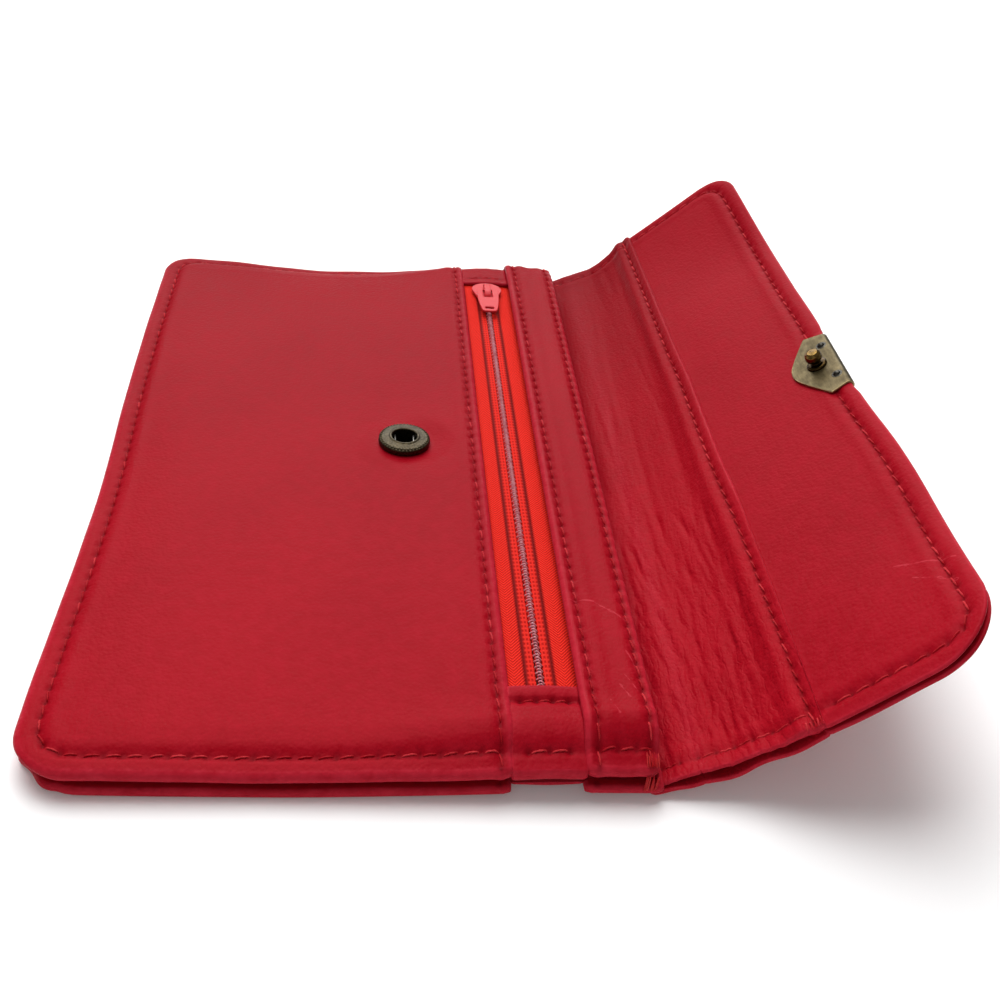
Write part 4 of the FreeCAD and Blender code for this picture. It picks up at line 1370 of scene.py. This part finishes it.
def stamped(name, loops, thick, bevel, place, material):
    """A sheet with rounded edges, cut to closed outlines; the first is the outside."""
    curve = bpy.data.curves.new(name, "CURVE")
    curve.dimensions = "2D"
    curve.fill_mode = "BOTH"
    curve.extrude = thick / 2 - bevel
    curve.bevel_depth = bevel
    curve.bevel_resolution = 3
    curve.offset = -bevel
    for loop in loops:
        spline = curve.splines.new("POLY")
        spline.points.add(len(loop) - 1)
        for point, (u, v) in zip(spline.points, loop):
            point.co = (u, v, 0, 1)
        spline.use_cyclic_u = True
    source = bpy.data.objects.new(name + "_curve", curve)
    mesh = bpy.data.meshes.new_from_object(source)
    points = np.array([v.co[:] for v in mesh.vertices])
    faces = [list(p.vertices) for p in mesh.polygons]
    bpy.data.objects.remove(source)
    bpy.data.meshes.remove(mesh)
    bpy.data.curves.remove(curve)
    return make_object(name, points + np.array(place), faces, material)


def rounded_loop(points, radii):
    """A closed outline with each corner rounded, by its own radius or by one for all."""
    points = [np.array(p, float) for p in points]
    if isinstance(radii, float):
        radii = [radii] * len(points)
    out = []
    for before, here, after, radius in zip(points[-1:] + points, points, points[1:] + points[:1], radii):
        most = 0.46 * min(np.linalg.norm(before - here), np.linalg.norm(after - here))
        out += rounded_corner(before, here, after, min(radius, most), 7)
    return out


def rectangle(half_width, low, high):
    return [(-half_width, low), (half_width, low), (half_width, high), (-half_width, high)]


def lathe(name, profile, origin, axes, material, soft, beads=None, segments=72):
    """Turns a (radius, height) profile, from the axis outwards, about axes[2].
    beads are a ring's (number, radius, height) on its upper side."""
    line = rounded_path(profile, soft, 0.09)
    turn = np.linspace(0, 2 * math.pi, segments, endpoint=False)
    radius, height = line[:, :1], line[:, 1:] + 0 * turn[None]
    if beads:
        count, at_radius, size = beads
        on_top = bump((radius - at_radius) / 0.16) * (height > 0.6)
        height = height + size * on_top * np.cos(count * turn)[None]
    # The rim mark is how high up the part a point is; the stud's material paints shade where it is low.
    rub_and_highlight = smooth((height - 1.1) / 1.2).ravel()
    local = np.stack([radius * np.cos(turn), radius * np.sin(turn), height], -1).reshape(-1, 3)
    points = np.array(origin) + local @ np.array(axes)
    ring = np.arange(segments)
    after = np.roll(ring, -1)
    faces = []
    for a in range(0, (len(line) - 1) * segments, segments):
        b = a + segments
        faces += np.stack([a + ring, b + ring, b + after, a + after], -1).tolist()
    return make_object(name, points, faces, material, {"rim": rub_and_highlight})


def ribbon(name, path, normals, half_width, thick, rim, material):
    """A strip of sheet metal bent along a path in the XZ plane, its width varying."""
    stations = steps_along(path)
    widest = max(half_width(s) for s in stations)

    def place(s, t, h):
        point = between(s, stations, path)
        normal = unit(between(s, stations, normals))
        across = PLATE_Y + t / widest * np.array([half_width(v) for v in np.ravel(s)])
        return np.stack([point[:, 0] + normal[:, 0] * h, across, point[:, 1] + normal[:, 1] * h], -1)

    skin = Skin(lambda s, t: thick / 2 + 0 * s, place, lambda s, t: thick)
    us, vs = ticks(0, stations[-1], 0.22), ticks(-widest, widest, 0.5)
    return skin.build(name, us, vs, rim, corner_radii(0.3, 0.3), material)


ALONG_FLAP = np.array([FLAP_WAY[0], 0.0, FLAP_WAY[1]])
OFF_FLAP = np.array([-FLAP_WAY[1], 0.0, FLAP_WAY[0]])
FLAP_AXES = [ALONG_FLAP, np.array([0.0, 1.0, 0.0]), OFF_FLAP]
PLATE_TOP = 1.5
SNAP_ALONG = 38.0


def on_plate(along_flap, y):
    """A point on the catch plate's upper side."""
    return H2 * (1, 0, 1) + ALONG_FLAP * along_flap + OFF_FLAP * PLATE_TOP + np.array([0, y, 0])


def build_plate():
    """The catch plate: a house-shaped leg above, folded over the flap's edge."""
    sheet, low_leg = 0.5, -0.5
    high_leg = PLATE_TOP - sheet / 2
    bend, middle = (high_leg - low_leg) / 2, (high_leg + low_leg) / 2
    apex, shoulder, fold = 32.9, 37.9, 41.3
    at_shoulder, at_fold = shoulder - apex, fold - apex
    past_bend = at_fold + math.pi * bend
    turns = np.linspace(0, math.pi, 22)[1:-1]
    flat = [(u, high_leg) for u in np.linspace(apex, fold, 40)]
    flat += [(fold + bend * math.sin(turn), middle + bend * math.cos(turn)) for turn in turns]
    flat += [(u, low_leg) for u in np.linspace(fold, shoulder + 0.6, 16)]
    out = [(0, 1)] * 40 + [(math.sin(turn), math.cos(turn)) for turn in turns] + [(0, -1)] * 16
    to_case = np.array([ALONG_FLAP[[0, 2]], OFF_FLAP[[0, 2]]])

    def half_width(s):
        """A round-nosed point that widens to the shoulders, then the lower leg's taper."""
        if s < at_shoulder:
            return math.sqrt(2.25 * s * s + 9.56 * s + 0.01)
        if s < at_fold:
            return 10.2 - 0.9 * (s - at_shoulder) / (fold - shoulder)
        return 9.3 - 3.0 * float(smooth((s - past_bend) / 3.0))

    path, normals = H2[[0, 2]] + np.array(flat) @ to_case, np.array(out) @ to_case
    obj = ribbon("catch_plate_brass", path, normals, half_width, sheet, 0.2, ANTIQUE)
    finish_piece(obj, "flap", "antique_brass", "catch_plate")


def build_stud():
    profile = [
        (0.0, 3.3), (1.05, 3.2), (1.58, 2.65), (1.66, 1.8), (1.45, 1.38), (0.95, 1.2), (0.9, 0.66),
        (1.7, 0.54), (2.0, 0.3), (2.0, -0.05),
    ]
    obj = lathe("ball_stud_brass", profile, on_plate(SNAP_ALONG, PLATE_Y), FLAP_AXES, BRIGHT, 0.16)
    finish_piece(obj, "flap", "bright_brass", "ball_stud")


def build_rivet(label, across):
    profile = [(0.0, 0.52), (0.3, 0.48), (0.58, 0.3), (0.72, 0.03), (0.86, 0.015), (1.0, 0.05), (1.08, -0.04)]
    origin = on_plate(SNAP_ALONG + 2.4, PLATE_Y + across)
    obj = lathe("plate_rivet_%s_dome" % label, profile, origin, FLAP_AXES, DARK_STEEL, 0.07, segments=40)
    finish_piece(obj, "flap", "bright_brass", "plate_rivet_" + label)


def build_socket():
    profile = [
        (2.42, -1.3), (2.42, 1.5), (2.55, 1.72), (2.84, 1.74), (3.02, 1.58), (4.1, 1.46), (4.42, 1.42),
        (4.78, 1.3), (5.0, 1.1), (5.05, 0.35), (4.96, -0.02), (4.7, -0.1),
    ]
    beads = (44, 4.62, 0.17)
    origin = (SNAP[0], SNAP[1], SEAT)
    obj = lathe("socket_ring_brass", profile, origin, np.eye(3), SOCKET, 0.09, beads, 264)
    finish_piece(obj, "case", "antique_brass", "socket_ring")


# ---------------------------------------------------------------- slider and pull


SLIDER_LOW, SLIDER_HIGH = corners("slider_body")
SLIDER_LENGTH = SLIDER_HIGH[1] - SLIDER_LOW[1]


def build_slider_body():
    """Two plates, which narrow from the slider's shoulders to its mouth, on a post."""
    middle = (SLIDER_LOW[2] + SLIDER_HIGH[2]) / 2
    half = [
        (0.0, 2.1), (0.22, 2.4), (0.46, 3.1), (0.62, 3.6), (0.76, 3.5), (0.89, 2.8), (0.97, 1.7), (1.0, 0.7),
    ]
    outline = [(side * w, SLIDER_LENGTH * t) for side, run in ((-1, half), (1, half[::-1])) for t, w in run]
    loop = rounded_loop(outline, 0.9)
    post = rounded_loop(rectangle(0.7, SLIDER_LENGTH * 0.68, SLIDER_LENGTH * 0.92), 0.4)
    for name, shape, thick, bevel, level, nodes in (
        ("slider_upper_plate", loop, 0.58, 0.2, 1.01, ["slider_body"]),
        ("slider_lower_plate", loop, 0.58, 0.2, -1.01, []),
        ("slider_post", post, 1.7, 0.1, 0.0, []),
    ):
        obj = stamped(name, [shape], thick, bevel, (ZIP, SLIDER_LOW[1], middle + level), ENAMEL)
        finish_piece(obj, "slider", "slider_paint", *nodes)


def build_slider_bridge():
    """The arch on the slider's upper side that holds the pull."""
    end = SLIDER_LENGTH - 1.5
    arch = [(1.7, -0.25), (1.95, 0.55), (2.9, 0.97), (end - 1.4, 0.97), (end - 0.35, 0.6), (end, -0.25)]
    path = rounded_path(arch, 0.42, 0.12)
    stations, ways = steps_along(path), ways_along(path)

    def place(s, t, h):
        point, way = between(s, stations, path), between(s, stations, ways)
        y = SLIDER_LOW[1] + point[:, 0] - way[:, 1] * h
        z = SLIDER_HIGH[2] + point[:, 1] + way[:, 0] * h
        return np.stack([ZIP - t, y, z], -1)

    skin = Skin(lambda s, t: 0.18 + 0 * s, place, lambda s, t: 0.36)
    us, vs = ticks(0, stations[-1], 0.14), ticks(-0.75, 0.75, 0.15)
    obj = skin.build("slider_bridge", us, vs, 0.15, corner_radii(0.16, 0.16), ENAMEL)
    finish_piece(obj, "slider", "slider_paint", "slider_crown")


def build_pull():
    """A tapered leaf with an opening for the bridge and a slot near its end."""
    side = [(2.2, 0.22, 0.7), (2.6, -1.6, 0.9), (2.5, -5.2, 1.4), (1.95, -9.6, 0.9), (1.55, -11.0, 0.6)]
    right = [(x, y) for x, y, radius in side]
    left = [(-x, y) for x, y in right[::-1]]
    radii = [radius for x, y, radius in side]
    outside = rounded_loop(right + left, radii + radii[::-1])
    opening = rounded_loop(rectangle(1.08, -3.9, -0.25), 0.3)
    slot = rounded_loop(rectangle(1.0, -9.9, -8.9), 0.25)
    pin = HINGE["pull_hinge"]
    obj = stamped("pull_leaf", [outside, opening, slot], 0.52, 0.16, (ZIP, pin[1], pin[2]), ENAMEL)
    finish_piece(obj, "pull", "slider_paint", "zip_pull")


def finish_carried_nodes():
    """The small CAD parts that stay get a metal of their own."""
    for node, material in (
        ("socket_cap", DARK), ("socket_spring", SPRING),
        ("zip_top_stop_left", STEEL), ("zip_top_stop_right", STEEL), ("zip_bottom_stop", STEEL),
    ):
        slots = frame["nodes"][node].data.materials
        slots.clear()
        slots.append(material)


# ---------------------------------------------------------------- stage


WHITE = (1.0, 1.0, 1.0, 1.0)


def build_floor():
    mesh = bpy.data.meshes.new("floor")
    mesh.from_pydata([(-2, -2, 0), (2, -2, 0), (2, 2, 0), (-2, 2, 0)], [], [(0, 1, 2, 3)])
    floor = bpy.data.objects.new("floor", mesh)
    bpy.context.scene.collection.objects.link(floor)
    n = Nodes("floor_white")
    n.surface(color=(0.98, 0.98, 0.98, 1.0), rough=0.7, specular=0.2)
    floor.data.materials.append(n.surface(**{"Emission Color": WHITE, "Emission Strength": 0.06}))


def build_world():
    world = bpy.data.worlds.new("studio")
    world.use_nodes = True
    background = world.node_tree.nodes["Background"]
    background.inputs["Color"].default_value = WHITE
    background.inputs["Strength"].default_value = 0.25
    bpy.context.scene.world = world


def placed(obj, place, right, up, forward):
    """Puts a light or camera, which looks along its own -Z, in the scene."""
    bpy.context.scene.collection.objects.link(obj)
    turn = Matrix([[right[k], up[k], -forward[k]] for k in range(3)]).to_4x4()
    obj.matrix_world = Matrix.Translation(place) @ turn


def build_soft_box(name, place, width, height, power):
    """A rectangular light that faces the scene's origin."""
    light = bpy.data.lights.new(name, "AREA")
    light.shape = "RECTANGLE"
    light.size, light.size_y, light.energy = width, height, power
    forward = unit(-np.array(place))
    right = unit(np.cross(forward, (0, 0, 1)))
    placed(bpy.data.objects.new(name, light), place, right, np.cross(right, forward), forward)


def build_camera():
    """Azimuth is measured from +Y towards +X, and a camera looking down has a pitch below 0."""
    azimuth, pitch, roll = np.radians((7.76, -35.059, 6.301))
    data = bpy.data.cameras.new("camera")
    data.sensor_width = 36.0
    data.lens = 45.82
    data.clip_start = 0.01
    level = np.array([math.cos(azimuth), -math.sin(azimuth), 0.0])
    ahead = np.array([math.sin(azimuth), math.cos(azimuth), 0.0])
    forward = ahead * math.cos(pitch) + np.array([0.0, 0.0, math.sin(pitch)])
    upright = np.cross(level, forward)
    right = level * math.cos(roll) + upright * math.sin(roll)
    camera = bpy.data.objects.new("camera", data)
    placed(camera, (0.00144, -0.21108, 0.14331), right, np.cross(right, forward), forward)
    bpy.context.scene.camera = camera


build_floor()
build_world()
build_soft_box("top_box", (-0.10, 0.30, 0.86), 0.75, 0.75, 9.2)
build_soft_box("back_box", (0.0, 1.0, 0.6), 1.0, 0.4, 6.2)
build_soft_box("front_fill", (-0.3, -0.9, 0.6), 0.8, 0.6, 0.9)
build_camera()
mouth_band = build_front()
build_pocket_lining()
build_hem()
build_back()
build_zip()
build_gusset()
build_flap()
build_tack(mouth_band, "near", -1)
build_tack(mouth_band, "far", 1)
build_plate()
build_stud()
build_rivet("near", -5.5)
build_rivet("far", 5.5)
build_socket()
build_slider_body()
build_slider_bridge()
build_pull()
finish_carried_nodes()

bpy.context.scene.view_settings.view_transform = "Standard"
